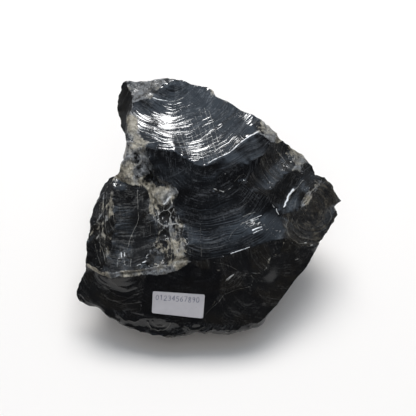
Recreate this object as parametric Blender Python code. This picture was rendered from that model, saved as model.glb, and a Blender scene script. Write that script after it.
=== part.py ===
"""Obsidian chunk: a raw hand specimen of black volcanic glass with a small paper label on its front face.

The stone is one solid. Its skin is a network of fracture facets: each facet is a loop of sharp
ridges, spanned by a thin-plate surface that is dished or crowned by a few height marks, and some
facets carry the broad ripples of a conchoidal fracture around the point where the blow fell.

The facets on the seen side are laid out on a working sheet, as an eye sees them from EYE_DISTANCE
away and EYE_ELEVATION above the horizon. A sheet point is (x to the right, y down the sheet,
height towards the eye), all in sheet units. The hidden side is laid out in plan, (X right, Y back,
Z up), in the same units. The eye looks along +Y, and the stone stands with +Z up.
"""

import math

import bpy
import numpy as np
from mathutils import Vector
from mathutils.geometry import delaunay_2d_cdt

# Driving dimensions, in metres unless a name says otherwise
UNIT = 0.000745  # one unit of the working sheet at the sheet's own depth
EYE_DISTANCE = 0.80
EYE_ELEVATION = 50.0  # degrees
SHEET_CENTRE = (208.0, 208.0)  # sheet units
REST_Z = -119.0
FACET_SPACING = 0.0049  # distance between points of the facet mesh
ORIGIN_SHIFT = (-0.00177, -0.01445)  # metres: brings the box centre to X = Y = 0
LABEL_GAP = 0.0003
LABEL_THICKNESS = 0.0003
LABEL_CORNER_RADIUS = 0.0013

SIN_E = math.sin(math.radians(EYE_ELEVATION))
COS_E = math.cos(math.radians(EYE_ELEVATION))
EYE_UNITS = EYE_DISTANCE / UNIT


def plan(x, y, z):
    """A point given in plan, in sheet units."""
    return np.array([x * UNIT + ORIGIN_SHIFT[0], y * UNIT + ORIGIN_SHIFT[1], (z - REST_Z) * UNIT])


def spot(x, y, w):
    """A point given on the working sheet, w units towards the eye."""
    k = 1.0 - w / EYE_UNITS
    u, v = (x - SHEET_CENTRE[0]) * k, (SHEET_CENTRE[1] - y) * k
    return plan(u, v * SIN_E - w * COS_E, v * COS_E + w * SIN_E)


EYE = plan(0, 0, 0) + EYE_DISTANCE * np.array([0.0, -COS_E, SIN_E])

# Corners where ridges meet. S corners lie on the outline that the eye sees, V corners inside it.
CORNERS = {
    "S1": spot(122.2, 83.0, -38),
    "S2": spot(126.1, 80.9, -35.5),
    "S3": spot(173.5, 78.8, -35),
    "S4": spot(261.8, 120.0, -20.6),
    "S4b": spot(283.4, 140.8, -22.8),
    "S5": spot(307.0, 160.4, -25),
    "S6": spot(315.0, 174.9, -26),
    "S7": spot(324.5, 177.2, -28),
    "S8": spot(341.4, 200.4, -31),
    "S9": spot(318.3, 245.6, -15),
    "S10": spot(258.0, 323.4, -5.0),
    "S12": spot(76.6, 291.2, -9),
    "S13": spot(85.8, 263.5, -3),
    "S14": spot(115.5, 175.5, -14),
    "S15": spot(126.4, 141.5, -13),
    "V1": spot(132.3, 103.0, -29),
    "V2": spot(142.9, 146.5, -9),
    "V4": spot(206.0, 166.0, -1.7),
    "V5": spot(265.5, 136.0, -14.6),
    "V6": spot(270.4, 141.0, -16.5),
    "V7": spot(265.8, 194.8, -5),
    "V8": spot(264.5, 154.0, -11),
    "V9": spot(294.7, 212.6, -9),
    "V10": spot(283.5, 214.0, -7.5),
    "V11": spot(285.7, 238.4, 0),
    "V12": spot(190.0, 261.5, 12.5),
    "V14": spot(146.5, 274.5, 11),
    "V15": spot(140.0, 313.0, 0.5),
    "V16": spot(221.8, 270.6, 10.5),
    "V17": spot(261.6, 274.7, 5.5),
    "V18": spot(251.4, 284.9, 4.5),
    "V19": spot(220.0, 290.5, 6.5),
    "V22": spot(199.0, 323.4, 0),
    "V23": spot(249.0, 323.8, -3),
    "V24": spot(143.0, 185.5, -7),
    "V25": spot(148.5, 190.5, -3.5),
    "V26": spot(154.2, 175.2, -5),
    "V28": spot(146.5, 269.0, 12.5),
    "V29": spot(101.6, 271.5, 6),
    # hidden corners, in plan
    "M1": plan(-90, 75, -22),
    "M2": plan(-62, 124, 2),
    "M3": plan(6, 131, -14),
    "M4": plan(64, 99, -24),
    "M5": plan(104, 55, -50),
    "U1": plan(-108, 8, -74),
    "U2": plan(93, -4, -93),
    "B1": plan(-66, -40, REST_Z),
    "B2": plan(-16, -53, REST_Z),
    "B3": plan(36, -60, REST_Z),
    "B4": plan(61, -31, REST_Z),
    "B5": plan(73, 5, REST_Z),
    "B6": plan(46, 39, REST_Z),
    "B7": plan(4, 54, REST_Z),
    "B8": plan(-40, 48, REST_Z),
    "B9": plan(-66, 27, REST_Z),
    "B10": plan(-79, -13, REST_Z),
}

# Ridges between corners, with the points they pass on the way
RIDGES = {
    # outline, clockwise as the eye sees it
    ("S1", "S2"): [],
    ("S2", "S3"): [spot(144.2, 81.2, -36), spot(151.8, 79.3, -37), spot(161.4, 78.7, -36)],
    ("S3", "S4"): [
        spot(182.4, 80.1, -35),
        spot(192.0, 84.5, -34),
        spot(207.3, 87.2, -33.5),
        spot(213.1, 90.6, -32),
        spot(215.9, 96.4, -30),
        spot(227.6, 101.4, -28),
        spot(241.8, 110.8, -23.6),
        spot(251.8, 114.1, -21.6),
    ],
    ("S4", "S4b"): [spot(270.2, 126.2, -21)],
    ("S4b", "S5"): [spot(293.6, 149.6, -24.8)],
    ("S5", "S6"): [spot(312.4, 166.3, -26)],
    ("S6", "S7"): [],
    ("S7", "S8"): [spot(331.4, 184.0, -29.5), spot(335.0, 191.6, -30.5)],
    ("S8", "S9"): [spot(334.4, 206.4, -29.5), spot(337.6, 216.9, -27.5), spot(329.4, 228.6, -22.5)],
    ("S9", "S10"): [
        spot(306.8, 266.6, -12.5),
        spot(289.6, 287.7, -9.5),
        spot(277.2, 304.9, -6.8),
        spot(264.7, 318.3, -5.5),
    ],
    ("S10", "S12"): [
        spot(251.3, 330.3, -5.5),
        spot(238.0, 332.3, -4.7),
        spot(228.4, 333.6, -4.5),
        spot(213.1, 333.6, -3.9),
        spot(201.6, 333.6, -3.5),
        spot(184.4, 334.5, -4.1),
        spot(172.9, 336.8, -5.3),
        spot(159.5, 335.5, -5.5),
        spot(144.2, 333.6, -6.2),
        spot(136.5, 329.8, -5.9),
        spot(123.1, 325.0, -6.1),
        spot(104.0, 312.5, -5.4),
        spot(84.9, 303.9, -9.4),
        spot(78.2, 299.2, -11),
    ],
    ("S12", "S13"): [spot(80.4, 281.6, -7.5), spot(85.8, 270.5, -5)],
    ("S13", "S14"): [
        spot(87.0, 252.0, -5.5),
        spot(89.7, 232.2, -9),
        spot(92.5, 213.1, -11),
        spot(96.4, 199.7, -13),
        spot(102.1, 188.2, -14),
        spot(108.8, 178.6, -15),
    ],
    ("S14", "S15"): [spot(123.1, 161.4, -15.5), spot(126.0, 149.9, -15)],
    ("S15", "S1"): [
        spot(125.2, 134.0, -19),
        spot(120.6, 125.0, -29),
        spot(118.5, 113.6, -38),
        spot(118.4, 98.3, -42),
    ],
    # upper left end
    ("S2", "V1"): [spot(131.4, 92.8, -32)],
    ("V1", "S3"): [spot(150.7, 98.9, -28), spot(155.9, 91.0, -30.5), spot(166.5, 82.3, -34)],
    ("V1", "S15"): [spot(129.6, 115.6, -24), spot(127.9, 127.9, -18.5)],
    # rim of the large upper scoop
    ("S15", "V2"): [spot(134.0, 144.5, -11)],
    ("V2", "V4"): [
        spot(156.6, 149.6, -7),
        spot(173.5, 151.0, -5.5),
        spot(180.4, 155.0, -4.8),
        spot(190.0, 160.8, -3.2),
        spot(198.0, 165.2, -1.9),
    ],
    ("V4", "V5"): [
        spot(218.4, 159.6, -4.6),
        spot(229.5, 154.8, -6.3),
        spot(239.8, 145.6, -9.3),
        spot(249.0, 138.9, -11.1),
        spot(259.7, 133.6, -13.3),
    ],
    ("V5", "S4"): [spot(262.5, 128.0, -17.6)],
    ("V5", "V6"): [],
    ("V6", "S4b"): [spot(276.0, 142.5, -20.5)],
    # right middle scoop
    ("V6", "V8"): [spot(268.5, 147.0, -14.5)],
    ("S5", "V7"): [spot(297.0, 166.5, -19), spot(289.5, 172.6, -14), spot(276.5, 182.6, -8.5)],
    ("V8", "V7"): [
        spot(259.7, 162.7, -8.5),
        spot(253.6, 170.3, -6.5),
        spot(249.0, 178.0, -5.5),
        spot(246.5, 184.8, -4.5),
        spot(255.0, 192.5, -4.5),
    ],
    ("V4", "V8"): [spot(220.0, 172.0, -2.4), spot(235.0, 170.0, -3.7), spot(250.0, 162.0, -6.2)],
    # right end: trough, narrow ridge and dark scoop
    ("S6", "V9"): [spot(312.4, 183.9, -20.5), spot(303.3, 198.3, -14.5)],
    ("S7", "V9"): [spot(312.9, 193.5, -20), spot(304.3, 204.5, -14.5)],
    ("V7", "V10"): [spot(272.0, 203.0, -6.5), spot(278.0, 209.0, -8)],
    ("V10", "V9"): [],
    ("V10", "V11"): [spot(282.7, 224.0, -4.5)],
    ("S9", "V11"): [spot(311.0, 248.0, -11), spot(302.0, 247.5, -7), spot(293.0, 243.5, -3.5)],
    # edge between the upper scoops and the front face
    ("V11", "V12"): [
        spot(280.5, 239.4, 2),
        spot(262.9, 244.0, 6.2),
        spot(250.6, 248.2, 8.2),
        spot(236.6, 253.3, 10.2),
        spot(220.8, 258.2, 12),
        spot(201.5, 261.0, 12.6),
    ],
    ("V12", "V28"): [spot(185.0, 258.8, 13.5), spot(175.2, 261.2, 14), spot(161.2, 266.5, 14)],
    ("V28", "V29"): [spot(129.3, 271.5, 11), spot(111.1, 273.5, 8.5)],
    ("V29", "S13"): [spot(93.0, 267.3, 1)],
    ("S13", "V14"): [
        spot(93.0, 270.0, -1.5),
        spot(101.6, 275.5, 3),
        spot(111.1, 278.0, 6.5),
        spot(129.3, 276.5, 10),
    ],
    ("V14", "V12"): [spot(164.7, 273.6, 11.5), spot(177.0, 270.0, 12)],
    # left scoop and the rough patches around it
    ("S14", "V29"): [
        spot(112.9, 196.7, -7),
        spot(114.8, 213.6, -4),
        spot(114.4, 228.9, -1),
        spot(112.0, 245.0, 2),
        spot(107.0, 259.0, 4.5),
    ],
    ("S14", "V24"): [spot(122.0, 181.0, -12), spot(130.0, 184.5, -9.5)],
    ("V24", "V25"): [],
    ("V25", "V28"): [
        spot(149.5, 197.0, -2.5),
        spot(153.5, 216.6, 1),
        spot(158.8, 228.9, 3.5),
        spot(157.3, 236.5, 5),
        spot(150.5, 250.0, 8),
        spot(147.0, 260.0, 11),
    ],
    ("V25", "V26"): [],
    ("V26", "V12"): [
        spot(165.0, 181.0, -2),
        spot(175.2, 187.5, 0.5),
        spot(177.9, 192.8, 1),
        spot(173.5, 201.5, 1),
        spot(176.1, 215.6, 3),
        spot(184.0, 224.3, 4),
        spot(182.2, 234.9, 7.5),
        spot(187.5, 245.4, 11.5),
    ],
    ("V2", "V26"): [spot(149.0, 155.0, -8), spot(152.0, 165.0, -6.6)],
    # front face
    ("V14", "V15"): [spot(145.0, 285.0, 8), spot(142.0, 300.0, 4)],
    ("V12", "V16"): [spot(200.0, 268.0, 11.5), spot(211.0, 269.0, 11)],
    ("V16", "V17"): [spot(245.9, 271.9, 8)],
    ("V17", "V18"): [],
    ("V18", "V19"): [spot(235.0, 287.5, 5.7)],
    ("V19", "V16"): [],
    ("V17", "V11"): [
        spot(265.0, 266.0, 6),
        spot(268.0, 262.4, 5.5),
        spot(270.8, 257.6, 5),
        spot(278.4, 253.3, 2),
        spot(283.0, 246.0, 0.5),
    ],
    ("V19", "V22"): [spot(214.0, 304.0, 4), spot(204.5, 314.5, 2)],
    ("V18", "V23"): [spot(257.0, 293.0, 2.5), spot(262.0, 302.0, 0), spot(257.0, 313.0, -2)],
    # ridge above the undercut at the foot of the front face
    ("S12", "V15"): [spot(87.5, 301.0, -6.5), spot(105.1, 308.0, -3.5), spot(127.9, 311.1, -0.5)],
    ("V15", "V22"): [spot(152.4, 315.5, 1), spot(175.2, 320.3, 0.5)],
    ("V22", "V23"): [spot(227.8, 325.2, -2)],
    ("V23", "S10"): [],
    # hidden ridges
    ("S1", "M2"): [plan(-78, 129, 26)],
    ("M2", "M3"): [plan(-28, 131, -8)],
    ("M3", "S3"): [plan(-12, 134, 24)],
    ("M3", "M4"): [plan(36, 119, -14)],
    ("M4", "S4"): [plan(61, 97, 8)],
    ("M4", "M5"): [plan(86, 80, -33)],
    ("M5", "S8"): [plan(122, 46, -40)],
    ("U2", "S9"): [plan(105, -4, -72)],
    ("U2", "M5"): [plan(101, 24, -74)],
    ("U2", "B5"): [],
    ("M1", "M2"): [plan(-83, 103, -9)],
    ("M1", "S15"): [plan(-82, 69, 5)],
    ("M1", "U1"): [plan(-106, 44, -50)],
    ("M1", "B9"): [plan(-86, 50, -74)],
    ("U1", "B10"): [plan(-95, -3, -96)],
    ("U1", "S13"): [plan(-119, -14, -58)],
    ("B1", "S12"): [plan(-98, -54, -93)],
    ("B4", "S10"): [plan(60, -57, -106)],
    ("B7", "M3"): [plan(9, 92, -78)],
    # rim of the flat underneath
    ("B1", "B2"): [plan(-44, -56, REST_Z)],
    ("B2", "B3"): [plan(8, -63, REST_Z)],
    ("B3", "B4"): [plan(56, -46, REST_Z)],
    ("B4", "B5"): [plan(76, -15, REST_Z)],
    ("B5", "B6"): [plan(64, 29, REST_Z)],
    ("B6", "B7"): [plan(24, 57, REST_Z)],
    ("B7", "B8"): [plan(-16, 61, REST_Z)],
    ("B8", "B9"): [plan(-58, 45, REST_Z)],
    ("B9", "B10"): [plan(-84, 9, REST_Z)],
    ("B10", "B1"): [plan(-76, -29, REST_Z)],
}

# Facets: the loop of corners, and the height marks that dish or crown the surface. A mark is
# ("at", x, y, w), a sheet point that the surface passes through; ("by", x, y, d), a rise of d sheet
# units over the plain span there; or ("mid", d), a rise at the facet's middle.
FACETS = {
    # seen side
    "end_left": (["S1", "S2", "V1", "S15"], [("mid", -1.5)]),
    "cap_left": (["S2", "S3", "V1"], [("by", 144, 91, -0.8)]),
    "scoop_top": (
        ["V1", "S3", "S4", "V5", "V4", "V2", "S15"],
        [
            ("at", 145, 113, -24.7),
            ("at", 145, 126, -18.3),
            ("at", 145, 138, -12.5),
            ("at", 160, 104, -27.4),
            ("at", 160, 114, -24.0),
            ("at", 160, 126, -17.4),
            ("at", 160, 138, -11.5),
            ("at", 172, 92, -31.2),
            ("at", 185, 95, -30.6),
            ("at", 185, 110, -25.2),
            ("at", 185, 126, -18.8),
            ("at", 185, 142, -11.8),
            ("at", 185, 151, -7.6),
            ("at", 208, 157, -5.6),
            ("at", 215, 110, -25.4),
            ("at", 215, 125, -19.7),
            ("at", 213, 140, -13.1),
            ("at", 213, 150, -8.7),
            ("at", 228, 147, -9.6),
            ("at", 238, 120, -20.0),
            ("at", 238, 134, -14.7),
            ("at", 238, 140, -12.0),
            ("at", 252, 126, -16.2),
        ],
    ),
    "patch_right": (["S4", "S4b", "V6", "V5"], [("mid", 0.8)]),
    "band": (["V4", "V5", "V6", "V8"], [("by", 230, 163, 0.4), ("by", 252, 149, 0.4)]),
    "scoop_right": (
        ["V6", "S4b", "S5", "V7", "V8"],
        [("by", 272, 166, -3.5), ("by", 282, 158, -3.0)],
    ),
    "trough": (["S5", "S6", "V9", "V10", "V7"], [("by", 296, 186, -2.2), ("by", 284, 200, -1.8)]),
    "rib": (["S6", "S7", "V9"], []),
    "scoop_end": (
        ["S7", "S8", "S9", "V11", "V10", "V9"],
        [("by", 312, 220, -2.5), ("by", 325, 205, -1.5)],
    ),
    "bowl": (
        ["V2", "V4", "V8", "V7", "V10", "V11", "V12", "V26"],
        [
            ("at", 165, 165, -4.9),
            ("at", 180, 168, -3.2),
            ("at", 178, 178, -1.3),
            ("at", 206, 180, -0.8),
            ("at", 232, 184, -3.6),
            ("at", 200, 200, 2.0),
            ("at", 225, 205, 0.2),
            ("at", 255, 208, -4.2),
            ("at", 204, 220, 5.0),
            ("at", 232, 225, 3.2),
            ("at", 257, 218, -1.6),
            ("at", 257, 232, 4.3),
            ("at", 259, 239, 5.5),
            ("at", 206, 238, 8.6),
            ("at", 211, 250, 10.9),
            ("at", 236, 240, 7.4),
            ("at", 238, 248, 9.0),
        ],
    ),
    "rough_left": (["S14", "S15", "V2", "V26", "V25", "V24"], [("by", 132, 160, 1.5), ("by", 146, 178, -2.5)]),
    "rough_middle": (
        ["V25", "V26", "V12", "V28"],
        [("by", 165, 200, 1.5), ("by", 165, 215, -2.0), ("by", 164, 234, -1.5), ("by", 165, 252, -2.0)],
    ),
    "side_left": (["S13", "S14", "V29"], [("by", 101, 225, -0.8)]),
    "scoop_left": (
        ["S14", "V24", "V25", "V28", "V29"],
        [
            ("by", 132, 205, -4.5),
            ("by", 134, 225, -6.0),
            ("by", 130, 245, -5.5),
            ("by", 128, 258, -3.2),
        ],
    ),
    "bevel": (["S13", "V29", "V28", "V12", "V14"], []),
    "front_left": (["S12", "S13", "V14", "V15"], [("by", 115, 290, -3.5)]),
    "front_middle": (["V14", "V12", "V16", "V19", "V22", "V15"], []),
    "front_top": (["V12", "V11", "V17", "V16"], [("by", 245, 261, -1.0)]),
    "front_small": (["V16", "V17", "V18", "V19"], [("mid", -0.8)]),
    "front_low": (["V19", "V18", "V23", "V22"], [("mid", -1.5)]),
    "front_right": (
        ["V11", "S9", "S10", "V23", "V18", "V17"],
        [("by", 290, 262, -2.0), ("by", 275, 285, -2.8)],
    ),
    "foot": (["S12", "V15", "V22", "V23", "S10"], []),
    # hidden side
    "back_left": (["S1", "M2", "M3", "S3", "S2"], [("mid", -4.0)]),
    "back_middle": (["S3", "M3", "M4", "S4"], [("mid", -4.0)]),
    "back_right": (["S4", "M4", "M5", "S8", "S7", "S6", "S5", "S4b"], [("mid", -4.0)]),
    "side_right": (["S8", "M5", "U2", "S9"], [("mid", -4.0)]),
    "under_right": (["M3", "B7", "B6", "B5", "U2", "M5", "M4"], [("mid", -5.0)]),
    "under_back": (["M2", "M1", "B9", "B8", "B7", "M3"], [("mid", -6.0)]),
    "side_back": (["S15", "M1", "M2", "S1"], [("mid", -3.5)]),
    "side_low": (["S13", "U1", "M1", "S15", "S14"], [("mid", -5.0)]),
    "under_side": (["U1", "B10", "B9", "M1"], [("mid", -3.0)]),
    "under_left": (["S12", "B1", "B10", "U1", "S13"], [("mid", -4.0)]),
    "under_front": (["S10", "B4", "B3", "B2", "B1", "S12"], [("mid", -2.0)]),
    "under_end": (["S10", "S9", "U2", "B5", "B4"], [("mid", -4.5)]),
    "rest_flat": (["B1", "B2", "B3", "B4", "B5", "B6", "B7", "B8", "B9", "B10"], "flat"),
}

# Broad ripples: centre of the blow, wavelength, height and where the train of waves starts, in
# sheet units
RIPPLES = {
    "front_left": (spot(112, 262, 6), 11.0, 0.9, 10.0),
    "scoop_end": (spot(309, 206, -20), 9.0, 0.7, 14.0),
    "under_back": (plan(-95, 75, -20), 26.0, 1.2, 30.0),
    "back_left": (plan(-60, 128, 40), 22.0, 1.0, 20.0),
    "side_low": (plan(-84, 60, 30), 24.0, 1.0, 25.0),
    "under_right": (plan(6, 131, -14), 26.0, 1.2, 30.0),
    "under_end": (plan(110, -8, -52), 22.0, 1.0, 20.0),
}


def thin_plate(nodes, heights, places):
    """Heights at places of the thin-plate surface through the nodes."""

    def kernel(r2):
        return 0.5 * r2 * np.log(np.maximum(r2, 1e-18))

    n = len(nodes)
    centre, size = nodes.mean(0), np.ptp(nodes, axis=0).max()
    p, q = (nodes - centre) / size, (places - centre) / size
    a = np.zeros((n + 3, n + 3))
    a[:n, :n] = kernel(((p[:, None] - p[None]) ** 2).sum(2))
    a[:n, n] = a[n, :n] = 1.0
    a[:n, n + 1 :] = p
    a[n + 1 :, :n] = p.T
    w = np.linalg.solve(a, np.concatenate([heights, np.zeros(3)]))
    k = kernel(((q[:, None] - p[None]) ** 2).sum(2))
    return k @ w[:n] + w[n] + q @ w[n + 1 :]


def inside(loop, places):
    """Which places lie inside the loop."""
    x, y = places[:, 0], places[:, 1]
    found = np.zeros(len(places), bool)
    for (x0, y0), (x1, y1) in zip(loop, np.roll(loop, -1, axis=0)):
        crosses = (y0 > y) != (y1 > y)
        if y1 != y0:
            found ^= crosses & (x < x0 + (y - y0) * (x1 - x0) / (y1 - y0))
    return found


def clearance(loop, places):
    """Distance of each place to the loop's nearest side."""
    best = np.full(len(places), np.inf)
    for p, q in zip(loop, np.roll(loop, -1, axis=0)):
        d = q - p
        t = np.clip(((places - p) @ d) / max(d @ d, 1e-18), 0, 1)
        best = np.minimum(best, np.linalg.norm(places - p - t[:, None] * d, axis=1))
    return best


class Skin:
    """Points and triangles of the stone, with ridges shared by the facets on both sides."""

    def __init__(self, spacing):
        self.spacing = spacing
        self.points, self.triangles = [], []
        self.corner = {name: self.add(p) for name, p in CORNERS.items()}
        self.ridge = {}
        for (a, b), way in RIDGES.items():
            path = [CORNERS[a], *way, CORNERS[b]]
            line = [self.corner[a]]
            for i, (p, q) in enumerate(zip(path, path[1:])):
                count = max(1, round(float(np.linalg.norm(q - p)) / spacing))
                line += [self.add(p + (q - p) * k / count) for k in range(1, count)]
                line.append(self.corner[b] if i == len(path) - 2 else self.add(q))
            self.ridge[a, b] = line
        self.middle = np.mean(list(CORNERS.values()), axis=0)
        self.planes = {}

    def add(self, p):
        self.points.append(np.asarray(p, float))
        return len(self.points) - 1

    def loop(self, corners):
        found = []
        for a, b in zip(corners, corners[1:] + corners[:1]):
            line = self.ridge[a, b] if (a, b) in self.ridge else self.ridge[b, a][::-1]
            found += line[:-1]
        return found

    def facet(self, name):
        corners, marks = FACETS[name]
        loop = self.loop(corners)
        rim = np.array([self.points[i] for i in loop])
        centre = rim.mean(0)
        # the loop's own area vector gives the facet's plane, facing away from the stone's middle
        area = np.cross(rim - centre, np.roll(rim, -1, axis=0) - centre).sum(0)
        normal = area / np.linalg.norm(area)
        if normal @ (centre - self.middle) < 0:
            normal = -normal
            loop, rim = loop[::-1], rim[::-1]
        across = np.cross([0.0, 0.0, 1.0], normal)
        if np.linalg.norm(across) < 0.2:
            across = np.array([1.0, 0.0, 0.0])
        across -= normal * (across @ normal)
        across /= np.linalg.norm(across)
        up = np.cross(normal, across)
        frame = np.array([across, up, normal])
        local = (rim - centre) @ frame.T
        flat, rise = local[:, :2], local[:, 2]

        step = self.spacing
        low, high = flat.min(0), flat.max(0)
        rows = []
        for j, y in enumerate(np.arange(low[1] + 0.4 * step, high[1], step * 0.866)):
            xs = np.arange(low[0] + (0.25 + 0.5 * (j % 2)) * step, high[0], step)
            rows.append(np.column_stack([xs, np.full(len(xs), y)]))
        grid = np.concatenate(rows) if rows else np.zeros((0, 2))
        if len(grid):
            grid = grid[inside(flat, grid)]
        if len(grid):
            grid = grid[clearance(flat, grid) > 0.55 * step]

        self.planes[name] = (centre, frame, flat, rise)
        heights = self.heights(name, marks, grid) if len(grid) else np.zeros(0)
        ids = list(loop)
        for (x, y), z in zip(grid, heights):
            ids.append(self.add(centre + np.array([x, y, z]) @ frame))
        places = [Vector(p) for p in flat] + [Vector(p) for p in grid]
        n = len(flat)
        sides = [(i, (i + 1) % n) for i in range(n)]
        out, _, faces, origins, _, _ = delaunay_2d_cdt(places, sides, [], 1, 1e-9)
        if any(len(o) != 1 for o in origins):
            raise ValueError(f"facet {name} crosses itself")
        for face in faces:
            a, b, c = (origins[i][0] for i in face)
            p, q, r = places[a], places[b], places[c]
            turn = (q[0] - p[0]) * (r[1] - p[1]) - (q[1] - p[1]) * (r[0] - p[0])
            tri = (ids[a], ids[b], ids[c])
            self.triangles.append(tri if turn > 0 else tri[::-1])

    def heights(self, name, marks, grid):
        """Heights over the facet's plane at points of that plane."""
        centre, frame, flat, rise = self.planes[name]
        if marks == "flat":
            return np.zeros(len(grid))
        nodes, known, extra = flat, rise, []
        for mark in marks:
            if mark[0] == "at":
                p = (spot(*mark[1:]) - centre) @ frame.T
                extra.append((p[0], p[1], p[2], False))
            elif mark[0] == "by":
                ray = spot(mark[1], mark[2], 0.0) - EYE
                t = ((centre - EYE) @ frame[2]) / (ray @ frame[2])
                p = (EYE + t * ray - centre) @ frame.T
                extra.append((p[0], p[1], mark[3] * UNIT, True))
            else:
                extra.append((0.0, 0.0, mark[1] * UNIT, True))
        if extra:
            spots = np.array([e[:2] for e in extra])
            plain = thin_plate(nodes, known, spots)
            levels = np.array([e[2] + (z if e[3] else 0.0) for e, z in zip(extra, plain)])
            nodes, known = np.concatenate([nodes, spots]), np.concatenate([known, levels])
        found = thin_plate(nodes, known, grid)
        if name in RIPPLES:
            blow, length, size, start = RIPPLES[name]
            p = centre + np.column_stack([grid, found]) @ frame
            r = np.linalg.norm(p - blow, axis=1) / UNIT
            fade = np.clip(clearance(flat, grid) / (8 * UNIT), 0, 1)
            on = np.clip((r - start) / length, 0, 1)
            found += size * UNIT * fade * on * np.sin(2 * math.pi * r / length)
        return found

    def surface(self, name, places):
        """World points of a facet's surface where the eye's rays through sheet places meet it."""
        centre, frame, flat, rise = self.planes[name]
        found = []
        for x, y in places:
            ray = spot(x, y, 0.0) - EYE
            level = 0.0
            for _ in range(12):
                t = ((centre - EYE) @ frame[2] + level) / (ray @ frame[2])
                p = (EYE + t * ray - centre) @ frame.T
                level = float(self.heights(name, FACETS[name][1], p[None, :2])[0])
            found.append(centre + np.array([p[0], p[1], level]) @ frame)
        return np.array(found)


def solid(name, points, triangles, material):
    mesh = bpy.data.meshes.new(name)
    mesh.from_pydata([tuple(p) for p in points], [], triangles)
    mesh.update()
    ob = bpy.data.objects.new(name, mesh)
    bpy.context.scene.collection.objects.link(ob)
    mesh.materials.append(material)
    return ob


def finish(name, colour, roughness, metallic=0.0):
    material = bpy.data.materials.new(name)
    material.use_nodes = True
    shader = material.node_tree.nodes["Principled BSDF"]
    shader.inputs["Base Color"].default_value = (*colour, 1.0)
    shader.inputs["Roughness"].default_value = roughness
    shader.inputs["Metallic"].default_value = metallic
    return material


for ob in list(bpy.data.objects):
    bpy.data.objects.remove(ob, do_unlink=True)

# The stone
skin = Skin(FACET_SPACING)
for facet_name in FACETS:
    skin.facet(facet_name)
glass = finish("volcanic_glass", (0.012, 0.012, 0.014), 0.12)
stone = solid("obsidian_chunk", skin.points, skin.triangles, glass)

# The paper label, bent to the face that it sticks to. Its corners are sheet places.
LABEL_CORNERS = [(152.9, 291.1), (204.9, 294.5), (203.0, 318.4), (151.8, 312.8)]
LABEL_CELLS = (12, 6)
near = np.array(LABEL_CORNERS)


def label_outline():
    """The label's rim in parts of its width and height, anticlockwise from the lower left."""
    wide = 52 * UNIT
    tall = 25 * UNIT
    rx, ry = LABEL_CORNER_RADIUS / wide, LABEL_CORNER_RADIUS / tall
    rim = []
    for cx, cy, start in ((1 - rx, ry, -90), (1 - rx, 1 - ry, 0), (rx, 1 - ry, 90), (rx, ry, 180)):
        for k in range(5):
            t = math.radians(start + 22.5 * k)
            rim.append((cx + rx * math.cos(t), cy + ry * math.sin(t)))
    # points along the straight sides, so that the paper can bend with the stone
    full = []
    for p, q in zip(rim, rim[1:] + rim[:1]):
        count = max(1, round(max(abs(q[0] - p[0]) * LABEL_CELLS[0], abs(q[1] - p[1]) * LABEL_CELLS[1])))
        full += [(p[0] + (q[0] - p[0]) * k / count, p[1] + (q[1] - p[1]) * k / count) for k in range(count)]
    return full


rim = label_outline()
cells = [
    (i / LABEL_CELLS[0], j / LABEL_CELLS[1])
    for j in range(1, LABEL_CELLS[1])
    for i in range(1, LABEL_CELLS[0])
]
places = np.array(rim + cells)
top_left, top_right, low_right, low_left = near
s, t = places[:, :1], places[:, 1:]
sheet = (1 - t) * ((1 - s) * low_left + s * low_right) + t * ((1 - s) * top_left + s * top_right)
contact = skin.surface("front_middle", sheet)
centre, frame, _, _ = skin.planes["front_middle"]
n = len(places)
_, _, faces, origins, _, _ = delaunay_2d_cdt(
    [Vector(p) for p in places], [(i, (i + 1) % len(rim)) for i in range(len(rim))], [], 1, 1e-9
)
under = contact + frame[2] * LABEL_GAP
over = contact + frame[2] * (LABEL_GAP + LABEL_THICKNESS)
triangles = []
for face in faces:
    a, b, c = (origins[i][0] for i in face)
    p, q, r = places[a], places[b], places[c]
    if (q[0] - p[0]) * (r[1] - p[1]) - (q[1] - p[1]) * (r[0] - p[0]) < 0:
        b, c = c, b
    triangles += [(a + n, b + n, c + n), (a, c, b)]
for i in range(len(rim)):
    j = (i + 1) % len(rim)
    triangles += [(i, j, j + n), (i, j + n, i + n)]
paper = finish("label_paper", (0.62, 0.64, 0.68), 0.7)
label = solid("paper_label", np.concatenate([under, over]), triangles, paper)
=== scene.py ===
import math

import bpy
import numpy as np
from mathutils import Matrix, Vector
from mathutils.bvhtree import BVHTree
from mathutils.geometry import delaunay_2d_cdt
from mathutils.kdtree import KDTree


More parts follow.
